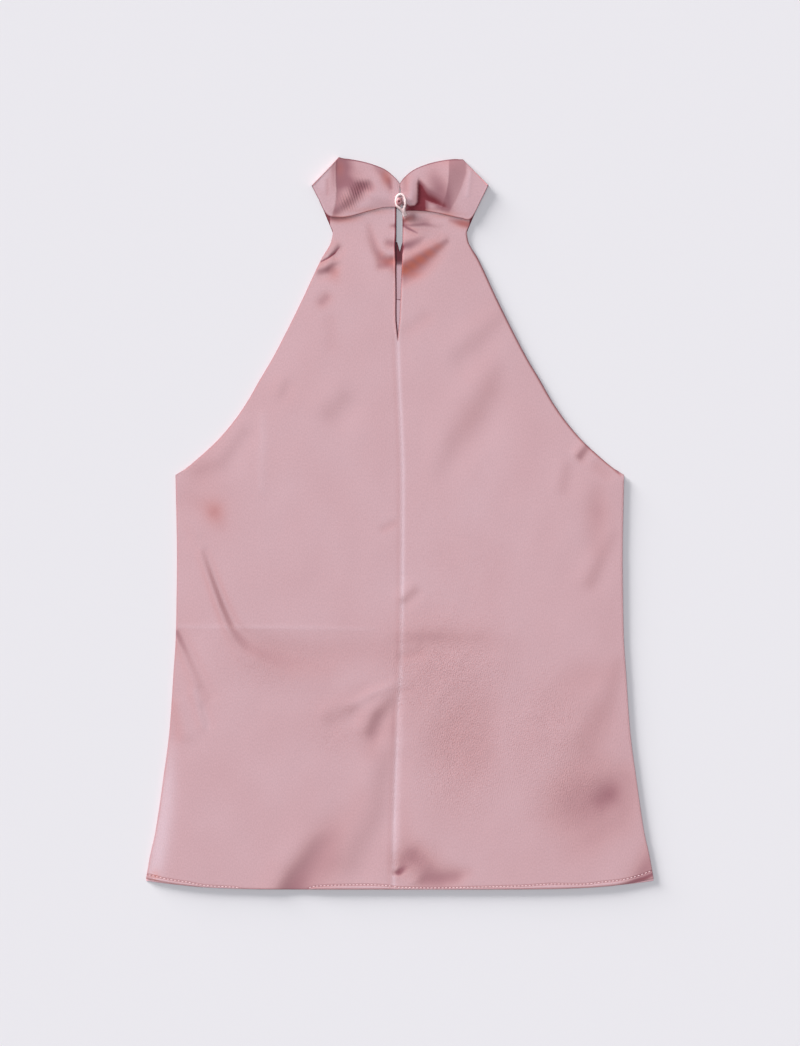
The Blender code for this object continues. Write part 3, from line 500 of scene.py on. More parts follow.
COLLAR_CREASES = (
    Crease("tab_edge", "tuck", 6.3, 641.7, 3.3, 0.70, 1.60),
    Crease("tab_edge", "tuck", 9.6, 640.1, 3.3, 0.90, 1.80),
    Crease("tab_edge", "tuck", 14.1, 640.6, 3.8, 1.00, 1.90),
    Crease("tab_edge", "tuck", 16.9, 643.6, 5.2, 1.10, 1.90),
    Crease("tab_edge", "tuck", 17.3, 651.6, 4.7, 1.10, 1.60),
    Crease("tab_edge", "tuck", 17.1, 660.9, 3.0, 0.80, 0.80),
    Crease("tab_edge", "tuck", 17.3, 664.7, 2.3, 0.30, 0.20),
    Crease("wedge_fold", "fold", 19.0, 660.9, 2.4, -0.40, 0.70),
    Crease("wedge_fold", "fold", 24.1, 653.0, 3.9, -0.60, 0.90),
    Crease("wedge_fold", "fold", 32.1, 646.5, 4.3, -0.50, 0.95),
    Crease("wedge_fold", "fold", 40.5, 640.8, 3.4, -0.30, 0.50),
    Crease("wedge_edge", "tuck", 44.3, 638.0, 2.8, 0.25, 0.25),
    Crease("wedge_edge", "tuck", 35.9, 641.2, 4.1, 0.55, 0.75),
    Crease("wedge_edge", "tuck", 27.4, 644.2, 4.7, 0.80, 1.20),
    Crease("wedge_edge", "tuck", 23.7, 646.4, 3.8, 0.70, 1.20),
    Crease("under_tab", "fold", 5.9, 636.6, 1.5, -0.30, 1.20),
    Crease("under_tab", "fold", 14.3, 637.0, 1.7, -0.40, 1.30),
    Crease("under_tab", "fold", 21.8, 637.5, 1.7, -0.30, 1.20),
    Crease("wedge_foot", "fold", 19.5, 657.2, 2.6, -0.40, 0.90),
    Crease("wedge_foot", "fold", 20.7, 648.8, 4.3, -0.50, 1.50),
    Crease("wedge_foot", "fold", 21.2, 637.5, 4.7, -0.50, 1.70),
    Crease("wing_shade", "fold", 31.2, 675.9, 7.5, -0.05, 0.14),
    Crease("wing_shade", "fold", 32.6, 666.6, 8.9, -0.10, 0.34),
    Crease("wing_shade", "fold", 36.8, 656.2, 9.4, -0.25, 0.56),
    Crease("wing_shade", "fold", 41.5, 646.9, 8.0, -0.25, 0.55),
    Crease("wing_shade", "fold", 46.2, 637.5, 6.1, -0.15, 0.32),
    Crease("wing_foot_shade", "fold", 29.3, 636.6, 2.4, 0.00, 0.16),
    Crease("wing_foot_shade", "fold", 35.9, 637.9, 3.2, -0.05, 0.34),
    Crease("wing_foot_shade", "fold", 43.4, 636.6, 3.4, -0.05, 0.20),
    Crease("right_band", "facet", 44.3, 639.4, 4.2, 0.30, 0.20),
    Crease("right_band", "facet", 49.0, 649.7, 5.6, 0.50, 0.25),
    Crease("right_band", "facet", 52.3, 660.9, 6.9, 0.70, 0.33),
    Crease("right_band", "facet", 54.6, 672.2, 8.4, 0.90, 0.38),
    Crease("right_band", "facet", 54.6, 687.2, 8.4, 0.90, 0.38),
    Crease("right_facet", "fold", 65.9, 672.2, 2.4, 0.15, -0.12),
    Crease("right_facet", "fold", 63.0, 650.6, 2.8, 0.15, -0.10),
    Crease("tab", "fold", 10.5, 664.7, 3.8, 0.20, 0.00),
    Crease("tab", "fold", 9.6, 646.9, 4.7, 0.50, -0.05),
    Crease("tab_warm", "fold", 4.9, 666.6, 2.8, -0.10, 0.25),
    Crease("tab_warm", "fold", 4.9, 655.3, 3.8, -0.10, 0.25),
    Crease("left_edge", "tuck", -63.0, 632.8, 4.7, 0.10, 0.45),
    Crease("left_edge", "tuck", -60.2, 643.1, 6.1, 0.15, 0.42),
    Crease("left_edge", "tuck", -59.3, 654.4, 8.4, 0.18, 0.50),
    Crease("left_edge", "tuck", -59.8, 666.6, 9.4, 0.18, 0.62),
    Crease("left_edge", "tuck", -60.0, 675.9, 11.2, 0.20, 0.84),
    Crease("left_edge", "tuck", -59.6, 687.2, 11.2, 0.20, 0.70),
    Crease("left_edge_lead", "fold", -62.3, 653.4, 2.4, 0.00, 0.08),
    Crease("left_edge_lead", "fold", -62.4, 662.8, 2.8, 0.00, 0.20),
    Crease("left_edge_lead", "fold", -62.2, 674.1, 2.8, 0.00, 0.36),
    Crease("left_edge_lead", "fold", -61.1, 685.3, 2.4, 0.00, 0.36),
    Crease("left_corner_shade", "fold", -49.5, 685.3, 6.6, -0.05, 0.20),
    Crease("left_corner_shade", "fold", -48.5, 676.9, 6.6, -0.10, 0.32),
    Crease("left_corner_shade", "fold", -49.5, 667.5, 6.6, -0.10, 0.34),
    Crease("left_upper_shade", "fold", -42.9, 664.7, 7.5, -0.05, 0.10),
    Crease("left_upper_shade", "fold", -38.2, 671.2, 7.5, -0.05, 0.14),
    Crease("left_upper_shade", "fold", -31.6, 677.8, 5.6, 0.00, 0.05),
    Crease("ribbed_band", "fall", -57.9, 634.7, 4.1, 0.20, 0.30),
    Crease("ribbed_band", "fall", -50.4, 641.2, 4.7, 0.25, 0.42),
    Crease("ribbed_band", "fall", -43.8, 646.9, 5.6, 0.30, 0.44),
    Crease("ribbed_band", "fall", -40.1, 653.4, 6.6, 0.35, 0.52),
    Crease("ribbed_band", "fall", -37.3, 658.6, 6.1, 0.30, 0.52),
    Crease("ribbed_band", "fall", -29.8, 662.3, 3.8, 0.15, 0.30),
    Crease("ribbed_heart", "fold", -54.1, 660.9, 5.2, -0.10, 0.30),
    Crease("ribbed_heart", "fold", -46.6, 660.9, 5.6, -0.15, 0.42),
    Crease("ribbed_heart", "fold", -41.0, 656.2, 5.2, -0.10, 0.22),
    Crease("ribbed_end", "fold", -42.9, 656.2, 4.3, -0.15, 0.14),
    Crease("ribbed_end", "fold", -35.4, 658.1, 4.5, -0.20, 0.30),
    Crease("ribbed_end", "fold", -27.4, 657.2, 4.5, -0.20, 0.38),
    Crease("facet_line", "fold", -67.7, 664.7, 1.7, -0.06, 0.20),
    Crease("facet_line", "fold", -67.7, 651.6, 1.7, -0.06, 0.20),
    Crease("facet_light", "fold", -71.0, 670.3, 4.7, 0.05, -0.10),
    Crease("facet_light", "fold", -73.8, 659.1, 4.7, 0.05, -0.10),
    Crease("top_roll", "fold", -21.3, 675.9, 4.1, -0.15, 0.32),
    Crease("top_roll", "fold", -14.8, 670.3, 4.7, -0.20, 0.50),
    Crease("top_roll", "fold", -10.5, 662.8, 4.5, -0.20, 0.46),
    Crease("top_roll", "fold", -8.2, 654.4, 3.2, -0.10, 0.15),
    Crease("top_roll_heart", "fold", -10.1, 664.7, 2.1, -0.10, 0.20),
    Crease("top_roll_heart", "fold", -8.2, 657.2, 1.9, -0.10, 0.25),
    Crease("lower_light", "fold", -26.0, 649.7, 7.5, 0.15, -0.03),
    Crease("lower_light", "fold", -14.8, 647.8, 6.6, 0.15, -0.03),
)

# How wide the turned hem shows under its stitching, from the left side seam to the right one. Where it
# is 0 the hem has rolled under.
HemBand = namedtuple("HemBand", "x width")
HEM_BAND = (
    HemBand(-237.0, 4.2),
    HemBand(-214.0, 3.6),
    HemBand(-201.0, 3.4),
    HemBand(-182.0, 1.5),
    HemBand(-157.0, 1.3),
    HemBand(-146.0, 0.0),
    HemBand(-90.0, 0.0),
    HemBand(-80.0, 2.8),
    HemBand(-57.0, 4.0),
    HemBand(-32.0, 4.4),
    HemBand(-14.0, 3.6),
    HemBand(0.0, 1.9),
    HemBand(27.0, 1.3),
    HemBand(46.0, 1.5),
    HemBand(98.0, 2.7),
    HemBand(118.0, 3.3),
    HemBand(142.0, 4.5),
    HemBand(175.0, 3.4),
    HemBand(190.0, 4.3),
    HemBand(207.0, 4.4),
    HemBand(220.0, 5.4),
    HemBand(237.0, 8.0),
)
STITCH_PITCH = 3.4
STITCH_LENGTH = 2.3
THREAD_RADIUS = 0.3
THREAD_SIDES = 6
STITCH_LIFT, STITCH_SAG = 0.18, 0.2  # how far it stands out of the cloth, and its ends dip into it
STITCH_REACH = 0.5  # how far to each side of a stitch the lie of the cloth is read
SEAM_AT_HEM = 5.0  # the height at which the centre back seam divides the stitches
Place = namedtuple("Place", "along share")  # along a stitch from -1 to 1, and its share of the radius
STITCH_PROFILE = (
    Place(-1.0, 0.25),
    Place(-0.75, 0.8),
    Place(-0.3, 1.0),
    Place(0.3, 1.0),
    Place(0.75, 0.8),
    Place(1.0, 0.25),
)
Span = namedtuple("Span", "from_x to_x")
STITCHED = (Span(-234.0, -152.0), Span(-84.0, -7.0), Span(-4.0, 236.0))

# The collar from the centre back to the fold at the side of the neck. seam is its lower edge, fold
# its upper one, both seen from above, and the three heights over the surface are of its outer face.
Section = namedtuple("Section", "seam_x seam_height fold_x fold_height seam_z fold_z crown")
LEFT_WING = (
    Section(-2.0, 639.2, 0.0, 660.9, 3.7, 4.4, 0.1),
    Section(-13.8, 639.1, -4.6, 666.6, 3.6, 4.6, 0.2),
    Section(-26.0, 636.4, -13.8, 674.1, 3.5, 4.7, 0.3),
    Section(-37.3, 633.2, -26.0, 679.1, 3.5, 4.7, 0.3),
    Section(-47.6, 630.5, -37.3, 682.1, 3.5, 4.7, 0.3),
    Section(-57.9, 629.6, -46.6, 683.8, 3.5, 4.7, 0.2),
    Section(-68.4, 632.4, -51.0, 684.3, 3.7, 4.7, 0.1),
    Section(-76.4, 647.6, -53.8, 684.7, 4.4, 4.7, 0.1),
)
RIGHT_WING = (
    Section(3.6, 635.8, 0.2, 660.9, 3.7, 4.4, 0.1),
    Section(13.0, 636.0, 4.6, 667.0, 3.6, 4.6, 0.2),
    Section(24.2, 635.5, 13.6, 674.1, 3.5, 4.7, 0.3),
    Section(35.9, 633.6, 25.5, 679.1, 3.5, 4.7, 0.3),
    Section(48.0, 630.8, 37.2, 682.1, 3.5, 4.7, 0.3),
    Section(57.4, 628.9, 47.1, 683.6, 3.5, 4.7, 0.2),
    Section(66.6, 628.6, 52.8, 683.9, 3.7, 4.7, 0.1),
    Section(76.0, 645.8, 56.2, 683.6, 4.4, 4.7, 0.1),
)
LEFT_CREST = Section(-82.3, 659.1, -57.4, 685.8, 2.35, 2.35, 0.0)
RIGHT_CREST = Section(82.7, 659.4, 59.3, 683.8, 2.35, 2.35, 0.0)
CREST_STEPS = 6
CREST_REACH = 0.7  # how far the sharp fold at the side of the neck curves out past the flat cloth
UNDER_BAND = (
    Section(-74.6, 644.5, -53.0, 680.4, 0.0, 0.0, 0.0),
    Section(-69.2, 631.2, -49.0, 672.4, 0.0, 0.0, 0.0),
    Section(-63.2, 616.9, -43.4, 656.8, 0.0, 0.0, 0.0),
    Section(-56.0, 597.2, -36.0, 636.6, 0.0, 0.0, 0.0),
    Section(-43.8, 576.6, -26.8, 617.8, 0.0, 0.0, 0.0),
    Section(-25.1, 559.7, -14.8, 602.8, 0.0, 0.0, 0.0),
    Section(0.0, 552.2, 0.0, 597.2, 0.0, 0.0, 0.0),
)
NECK_CORNER = 2
NECK_NOTCH = 9.0
NOTCH_STARTS, NOTCH_ENDS, NOTCH_BELOW = (0.0, 2.6), (4.0, 12.0), 615.0
COLLAR_ALONG = 480
COLLAR_ACROSS = 46
COLLAR_WALL = 0.6
WING_STARTS, WING_ENDS = 2.2, 3.4  # while its fold rises from one to the other, the creases fade in
SHADE_STARTS = 0.8  # with its fold lower than this, shade is painted on the collar inside the neck
WING_ROLL = 3  # how suddenly a wing rolls down to its lower edge
WING_FLOOR = 3.3  # its creases sink no lower than this
FLOOR_SOFTNESS = 0.1
WING_ARCH = 3
HELD_AT_SEAM, HELD_AT_FOLD = 8, 12  # how suddenly its creases start at its lower and its upper edge
# SEAM_RIM and FOLD_RIM paint a thin line of shade along the lower and the upper edge of a wing; SEAM_LIGHT
# makes a strip above the lower edge shinier.
SEAM_RIM = Line(0.7, 0.0, 0.6)
SEAM_LIGHT = Line(-0.16, 1.5, 0.7)
FOLD_RIM = Line(1.0, 0.0, 0.6)
IN_SLIT, SLIT_HALF_WIDTH = (583.0, 590.0), 12.0  # below these heights the collar shows in the slit
# the most shade painted on the wings, and the shade painted on the collar inside the neck
WING_SHADE_LIMIT, NECK_SHADE = 2.1, 1.4

BUTTON_X, BUTTON_HEIGHT = -0.5, 644.0
BUTTON_Z = 8.1
BUTTON_HALF_WIDTH, BUTTON_HALF_LENGTH, BUTTON_HALF_THICKNESS = 3.0, 4.0, 2.0
BUTTON_SEGMENTS, BUTTON_RINGS = 32, 20
BUTTON_DIMPLE = 1.1  # how deep the stitch in its middle draws the cover down
DIMPLE_REACH = 1.5
BUTTON_BACK = 0.55  # how far down, in half thicknesses, its flat back is
SHANK_INSET, SHANK_LENGTH = 0.9, 0.6
BUTTON_SMOOTH = 50.0  # degrees
# the shade painted on the button's cover, and more of it painted in its dimple, this wide
BUTTON_SHADE, DIMPLE_SHADE, DIMPLE_SHADE_WIDTH = 0.3, 1.7, 0.9

LOOP_RADIUS = 1.3
# Along the cord: from its end on the right back panel, round the button and back beside itself.
LoopPoint = namedtuple("LoopPoint", "x height z")
LOOP_ROUTE = (
    LoopPoint(4.4, 630.6, 4.3),
    LoopPoint(3.7, 632.6, 4.9),
    LoopPoint(2.9, 635.2, 6.0),
    LoopPoint(0.2, 637.9, 6.9),
    LoopPoint(-2.6, 640.4, 7.2),
    LoopPoint(-3.5, 644.6, 7.3),
    LoopPoint(-2.4, 648.8, 7.3),
    LoopPoint(0.6, 650.9, 7.2),
    LoopPoint(3.8, 649.2, 7.3),
    LoopPoint(5.0, 645.2, 7.5),
    LoopPoint(4.9, 641.0, 7.5),
    LoopPoint(4.0, 637.6, 7.4),
    LoopPoint(4.4, 634.4, 6.2),
    LoopPoint(6.0, 631.6, 4.5),
)
LOOP_RINGS = 120
LOOP_SIDES = 14

# How the camera stands over the garment: straight above, with 980.6 mm of surface in its long side.
CAMERA_LENS = 180.0
CAMERA_SENSOR = 36.0
VIEW_LENGTH = 980.6
VIEW_MIDDLE = (0.2, 0.3)
FLOOR_SIZE = 12.0  # in metres
FLOOR_BELOW = 0.2

# Angles in degrees: how wide a sun looks, how high it stands and where, anticlockwise from the right.
Sun = namedtuple("Sun", "name energy angle elevation azimuth colour")
SUNS = (
    Sun("overhead", 1.36, 26.0, 88.0, 135.0, "fbfbff"),
    Sun("low_left", 6.4, 26.0, 13.0, 136.0, "fffdfb"),
)
ROOM_COLOUR, ROOM_LIGHT = "f3f3f7", 0.2

# Into a fold less light comes, which makes it mauve, then maroon and at last nearly black. Where light
# bounces into it from pink cloth it is brick. Each colour starts at none and has taken over at full.
Shade = namedtuple("Shade", "colour attribute none full")
SHADES = (
    Shade("94565d", "dull", 0.15, 0.65),
    Shade("bc5c45", "warm", 0.0, 1.0),
    Shade("700f1d", "dull", 0.8, 1.7),
    Shade("250609", "dull", 2.2, 3.6),
)


def read(rows, column, values):
    """A column of a table where its first column has these values, on a curve that never overshoots."""
    table = np.array(rows, dtype=float)
    key, found = table[:, 0], table[:, column]
    span = np.diff(key)
    slopes = np.diff(found) / span
    tangents = np.zeros(len(key))
    tangents[0], tangents[-1] = slopes[0], slopes[-1]
    before, after = slopes[:-1], slopes[1:]
    same = before * after > 0
    tangents[1:-1][same] = 2 * before[same] * after[same] / (before[same] + after[same])
    values = np.clip(values, key[0], key[-1])
    start = np.clip(np.searchsorted(key, values, side="right") - 1, 0, len(span) - 1)
    part = (values - key[start]) / span[start]
    square, cube = part**2, part**3
    return (
        found[start] * (2 * cube - 3 * square + 1)
        + found[start + 1] * (3 * square - 2 * cube)
        + tangents[start] * span[start] * (cube - 2 * square + part)
        + tangents[start + 1] * span[start] * (cube - square)
    )


def on_rows(rows, places):
    """The columns of a table at these places, counted in rows, on smooth curves through the rows."""
    table = np.array(rows, dtype=float)
    last = len(table) - 1
    places = np.asarray(places, dtype=float)
    start = np.minimum(places.astype(int), last - 1)
    before, here, there, after = (
        table[np.clip(start + step, 0, last)] for step in (-1, 0, 1, 2)
    )
    part = (places - start)[..., None]
    square, cube = part**2, part**3
    return (
        here * (2 * cube - 3 * square + 1)
        + there * (3 * square - 2 * cube)
        + (there - before) / 2 * (cube - 2 * square + part)
        + (after - here) / 2 * (cube - square)
    )


def smooth_step(values, low, high):
    part = np.clip((values - low) / (high - low), 0.0, 1.0)
    return part * part * (3 - 2 * part)


def hump(values, middle, width):
    return np.exp(-(((values - middle) / width) ** 2))


def line_at(line, distance):
    return line.amount * hump(distance, line.away, line.width)


def half_width(height):
    return np.where(
        height < UNDERARM_HEIGHT, read(SIDE_SEAM, 1, height), read(ARMHOLE, 1, height)
    )


def hem_height(hem, x):
    return hem.rise * (np.abs(x) / SIDE_SEAM[0].half_width) ** hem.power


def one_crease(line, x, height):
    """How far one crease lifts the cloth at these points, and how much of its sheen the cloth loses and
    how much shade is painted on it there.
    """
    nearest = np.full(x.shape, np.inf)
    relief, dull = np.zeros(x.shape), np.zeros(x.shape)
    last = len(line) - 2
    for number, (start, end) in enumerate(zip(line, line[1:])):
        run_x, run_h = end.x - start.x, end.height - start.height
        length = math.hypot(run_x, run_h)
        from_x, from_h = x - start.x, height - start.height
        along = (from_x * run_x + from_h * run_h) / length**2
        held = np.clip(along, 0.0, 1.0)
        distance = np.hypot(from_x - held * run_x, from_h - held * run_h)
        beyond = np.where(number == 0, np.maximum(-along, 0.0), 0.0)
        beyond = beyond + np.where(number == last, np.maximum(along - 1.0, 0.0), 0.0)
        beyond = beyond * length
        right = np.sign(from_x * run_h - from_h * run_x)
        width = start.width + (end.width - start.width) * held
        across = right * np.sqrt(np.maximum(distance**2 - beyond**2, 0.0)) / width
        fade = np.exp(-((beyond / width) ** 2))
        spread = np.exp(-(across**2))
        if start.kind == "fold":
            shape = spread
        elif start.kind == "fall":
            shape = -across * np.exp((1 - across**2) / 2)
        elif start.kind == "facet":
            spread = smooth_step(across, *FACET_RIDGE) * (1 - smooth_step(across, *FACET_SHADE_ENDS))
            slope = 1 - smooth_step(across, *FACET_SLOPE)
            shape = np.where(across < -1, np.exp((across + 1) / FACET_TOE), slope)
        else:
            spread = smooth_step(across * width, *TUCK_LEDGE) * np.exp(-(np.maximum(across, 0) ** 2))
            shape = -spread
        closer = distance < nearest
        rise = start.rise + (end.rise - start.rise) * held
        loss_and_shade = start.dull + (end.dull - start.dull) * held
        relief = np.where(closer, rise * fade * shape, relief)
        dull = np.where(closer, loss_and_shade * fade * spread, dull)
        nearest = np.where(closer, distance, nearest)
    return np.stack([relief, dull])


def all_creases(creases, x, height):
    names = dict.fromkeys(crease.name for crease in creases)
    lines = ([crease for crease in creases if crease.name == name] for name in names)
    return sum(one_crease(line, x, height) for line in lines)


def ripples(x, height, long, seed):
    """A gentle unevenness of cloth, from -1 to 1, with waves about this long."""
    flat = zip(x.ravel() / long, height.ravel() / (1.3 * long))
    waves = [noise.noise(Vector((across, up, seed))) for across, up in flat]
    return np.array(waves).reshape(x.shape)


def waved(wave, x, height):
    return wave.rise * ripples(x, height, wave.length, wave.seed)


def strongest(areas, least, x, height):
    """The amount of the area that counts most at each point, or the least amount outside them all."""
    amount = np.full(x.shape, least)
    for area in areas:
        spot = hump(x, area.x, area.half_width) * hump(height, area.height, area.half_length)
        amount = np.maximum(amount, area.amount * spot)
    return amount


def worn(areas, x, height):
    """How strongly the cloth is crumpled or strained here, up to 1."""
    return strongest(areas, UNWORN, x, height)


def warmed(x, height):
    """How much light comes here from pink cloth close by, from 0 to 1."""
    return strongest(WARM, 0.0, x, height)


def from_outline(x, height):
    """How far these points are from the side seam or the armhole."""
    levels = np.linspace(OUTLINE_STARTS, LENGTH, OUTLINE_STEPS)
    edge = np.stack([half_width(levels), levels], axis=1)
    run = np.diff(edge, axis=0)
    nearest = np.full(x.shape, np.inf)
    for start, way in zip(edge, run):
        from_x, from_h = np.abs(x) - start[0], height - start[1]
        along = np.clip((from_x * way[0] + from_h * way[1]) / (way @ way), 0.0, 1.0)
        nearest = np.minimum(nearest, np.hypot(from_x - along * way[0], from_h - along * way[1]))
    return nearest


def back_surface(side, x, height):
    """The outer face of the back, lofted, seamed and creased, and how much of its sheen it loses and how
    much shade is painted on it.
    """
    from_edge = from_outline(x, height)
    middle, gap = read(CENTRE_BACK, 1, height), read(CENTRE_BACK, 2, height)
    sewn = 1 - smooth_step(height, SEAM_ENDS, SLIT_STARTS)
    lap = SEAM_LAP * max(side, 0) * (1 - smooth_step(height, LAP_FADES, LAP_ENDS))
    from_seam = np.maximum(side * (x - middle) - gap / 2 + lap, 0.0)
    from_middle = np.abs(x - middle)
    over_hem = height - hem_height(BACK_HEM, x)
    settled = 1 - smooth_step(height, LOFT_FADES, LOFT_ENDS)
    creases, dull = all_creases(BACK_CREASES, x, height)

    loft = BACK_LOFT * (1 - np.exp(-from_edge / BACK_LOFT_RUN)) * settled
    rough = worn(CRUMPLED, x, height)
    waves = waved(BROAD_WAVES, x, height) + waved(SMALL_WAVES, x, height)
    waves = waves + rough * (waved(FINE_CRUMPLES, x, height) + waved(COARSE_CRUMPLES, x, height))
    dull = dull + WORN_LOSS * (rough - UNWORN) + waved(SHEEN_WAVES, x, height)
    lifted = loft - SEAM_DIP * np.exp(-from_middle / SEAM_DIP_RUN) * sewn + creases + waves * settled
    lifted = 0.5 * (lifted + np.sqrt(lifted**2 + SINKS_SOFTLY**2))

    # The centre back seam.
    puffed = smooth_step(height, *PUFF_STARTS) * (1 - smooth_step(height, *PUFF_ENDS))
    lifted += puffed * sewn * line_at(PUFF_HOLLOW, from_middle)
    puckers = np.sin(height * 2 * math.pi / PUCKER_PITCH + waved(PUCKER_DRIFT, x, height))
    lifted += PUCKER_RISE * puckers * np.exp(-from_middle / PUCKER_RUN) * sewn
    dull += sewn * line_at(SEAM_SHINE, from_middle)
    if side > 0:
        dull += puffed * sewn * line_at(PUFF_SHINE, from_middle)
    else:
        lifted += sewn * line_at(UNDER_LAP, from_seam)
        dull += sewn * line_at(SEAM_SHADE, from_middle)

    # The slit above it with shade painted along its edges, and the shade painted under the wings of the
    # collar.
    edge = LEFT_SLIT_EDGE if side < 0 else RIGHT_SLIT_EDGE
    rolled = edge.roll * line_at(SLIT_ROLL, from_seam) + line_at(SLIT_EDGE, from_seam)
    lifted += (1 - sewn) * settled * rolled
    deep = smooth_step(height, *SLIT_DEEPENS)
    dark, wide = edge.dark + edge.darker * deep, edge.wide + edge.wider * deep
    shine = edge.shine * hump(from_seam, SHINE_AWAY + wide, SHINE_WIDTH)
    dull += (1 - sewn) * (dark * hump(from_seam, 0.0, wide) - shine)
    under_wing = read(BACK_TOP_EDGE, 1 if side < 0 else 2, np.abs(x)) - height
    dull += line_at(UNDER_WING, under_wing)

    # The turned hem, and the edges.
    band = read(HEM_BAND, 1, x)
    shows = smooth_step(band, *HEM_SHOWS)
    puff = shows * hump(over_hem, band / 2, band / 2 + HEM_PUFF_SPREAD)
    groove = shows * hump(over_hem, band, HEM_GROOVE_WIDTH)
    lifted += HEM_PUFF * puff - HEM_GROOVE * groove + line_at(HEM_EDGE, over_hem)
    dull += HEM_GROOVE_SHADE * groove - HEM_SHINE * puff
    turned = (height > UNDERARM_HEIGHT) & (side > 0)
    roll = np.where(turned, ARMHOLE_ROLL, SIDE_ROLL)
    lifted -= roll * hump(from_edge, 0.0, ROLL_WIDTH) * settled
    dull += turned * line_at(ARMHOLE_SHADE, from_edge) * settled
    rest = ON_FRONT + (ON_BAND - ON_FRONT) * smooth_step(height, BAND_STARTS, BAND_LIFTS)
    return rest + lifted, dull


def row_levels():
    """The heights of the rows of a back panel's mesh, before they bend with an edge."""
    levels = [0.0]
    for stretch in BACK_ROWS:
        low = levels[-1]
        for row in range(1, stretch.rows + 1):
            levels.append(low + (stretch.up_to - low) * row / stretch.rows)
    return np.array(levels)


def column_places():
    """Where the columns of a back panel's mesh stand, from 0 at its inner edge to 1 at its outer one."""
    from_inner = np.arange(BACK_COLUMNS) + 0.5
    from_outer = BACK_COLUMNS - from_inner
    steps = 1 - COLUMN_CROWDING * (np.exp(-from_inner / CROWDED) + np.exp(-from_outer / CROWDED))
    return np.concatenate([[0.0], steps.cumsum()]) / steps.sum()


def back_points(side):
    """The outer face of a back panel as rows of points, from the hem up and from left to right."""
    level, across = np.meshgrid(row_levels(), column_places(), indexing="ij")
    if side < 0:
        across = 1 - across
    bend = np.maximum(level - TOP_ZONE_HEIGHT, 0.0) / (LENGTH - TOP_ZONE_HEIGHT)
    level = np.minimum(level, TOP_ZONE_HEIGHT)
    risen = np.maximum(1 - level / HEM_RISE_FADE, 0.0)
    lap = SEAM_LAP * max(side, 0) * (1 - smooth_step(level, LAP_FADES, LAP_ENDS))
    inner = read(CENTRE_BACK, 1, level) + side * read(CENTRE_BACK, 2, level) / 2 - lap
    outer = side * half_width(level + BACK_HEM.rise * risen)
    x = inner + (outer - inner) * across
    height = level + hem_height(BACK_HEM, x) * risen
    for _ in range(EDGE_ROUNDS):
        top = read(BACK_TOP_EDGE, 1 if side < 0 else 2, np.abs(x))
        height = np.where(bend > 0, level + (top - level) * bend, height)
        bent = inner + (side * half_width(height) - inner) * across
        x = np.where(bend > 0, bent, x)
    level, dull = back_surface(side, x, height)
    edged = hump(from_outline(x, height), 0.0, RIM_WIDTH) * (1 - smooth_step(height, *RIM_FADES))
    wall = CLOTH_WALL + (level - FRONT_LEVEL - CLOTH_WALL) * edged
    return np.stack([x, height, level, dull, worn(CRUMPLED, x, height), warmed(x, height), wall], axis=-1)


def front_points():
    """The upper face of the front panel: straight rows, which bend near the top to its neckline."""
    levels = np.linspace(0.0, 1.0, FRONT_ROWS + 1)
    level, across = np.meshgrid(levels, np.linspace(-1.0, 1.0, FRONT_COLUMNS + 1), indexing="ij")
    low = np.minimum(level / FRONT_SPLIT, 1.0) * FRONT_TOP_ZONE
    high = np.maximum(level - FRONT_SPLIT, 0.0) / (1 - FRONT_SPLIT)
    risen = np.maximum(1 - low / HEM_RISE_FADE, 0.0)
    x = across * half_width(low + FRONT_HEM.rise * risen)
    height = low + hem_height(FRONT_HEM, x) * risen

    last = len(UNDER_BAND) - 1
    place = last - (last - NECK_CORNER) * np.abs(across)
    neck = on_rows(UNDER_BAND, place)
    neck_x, neck_h = -neck[..., 0] * np.sign(across), neck[..., 1] - SEAM_GAP
    corner_h = float(on_rows(UNDER_BAND, NECK_CORNER)[1]) - SEAM_GAP
    side_h = FRONT_TOP_ZONE + (corner_h - FRONT_TOP_ZONE) * high
    base = half_width(np.full(x.shape, FRONT_TOP_ZONE))
    straight = base + (np.abs(float(on_rows(UNDER_BAND, NECK_CORNER)[0])) - base) * high
    bulge = (half_width(side_h) - straight) * across
    top_x = across * base + (neck_x - across * base) * high + bulge
    top_h = FRONT_TOP_ZONE + (neck_h - FRONT_TOP_ZONE) * high
    bent = high > 0
    x = np.where(bent, top_x, x)
    height = np.where(bent, top_h, height)
    from_edge = np.maximum(half_width(height) - np.abs(x), 0.0)
    over_hem = height - hem_height(FRONT_HEM, x)
    edges = hump(from_edge, 0.0, FRONT_EDGE_WIDTH) * (1 - high) + hump(over_hem, 0.0, FRONT_EDGE_WIDTH)
    z = FRONT_LEVEL - FRONT_EDGE_DROP * edges
    plain = np.zeros(x.shape)
    wall = plain + FRONT_LEVEL - FRONT_CLEARANCE
    return np.stack([x, height, z, plain, plain, plain, wall], axis=-1)


def crest_sections(crest, last):
    """Sections round the fold at the side of the neck, from its wing's last one down to the surface."""
    seam, fold = np.array(crest[:2]), np.array(crest[2:4])
    run = fold - seam
    inward = np.array([run[1], -run[0]]) / np.linalg.norm(run)
    slides = []
    for end, before in ((seam, last[:2]), (fold, last[2:4])):
        way = np.array(before) - end
        slides.append(way / abs(way @ inward))
    for step in range(CREST_STEPS + 1):
        turn = math.pi * (0.5 - step / CREST_STEPS)
        inset = CREST_REACH * (1 - math.cos(turn))
        level = crest.seam_z * (1 + math.sin(turn))
        seam_now, fold_now = seam + slides[0] * inset, fold + slides[1] * inset
        yield Section(*seam_now, *fold_now, level, level, 0.0)


def mirrored(sections):
    return [section._replace(seam_x=-section.seam_x, fold_x=-section.fold_x) for section in sections]


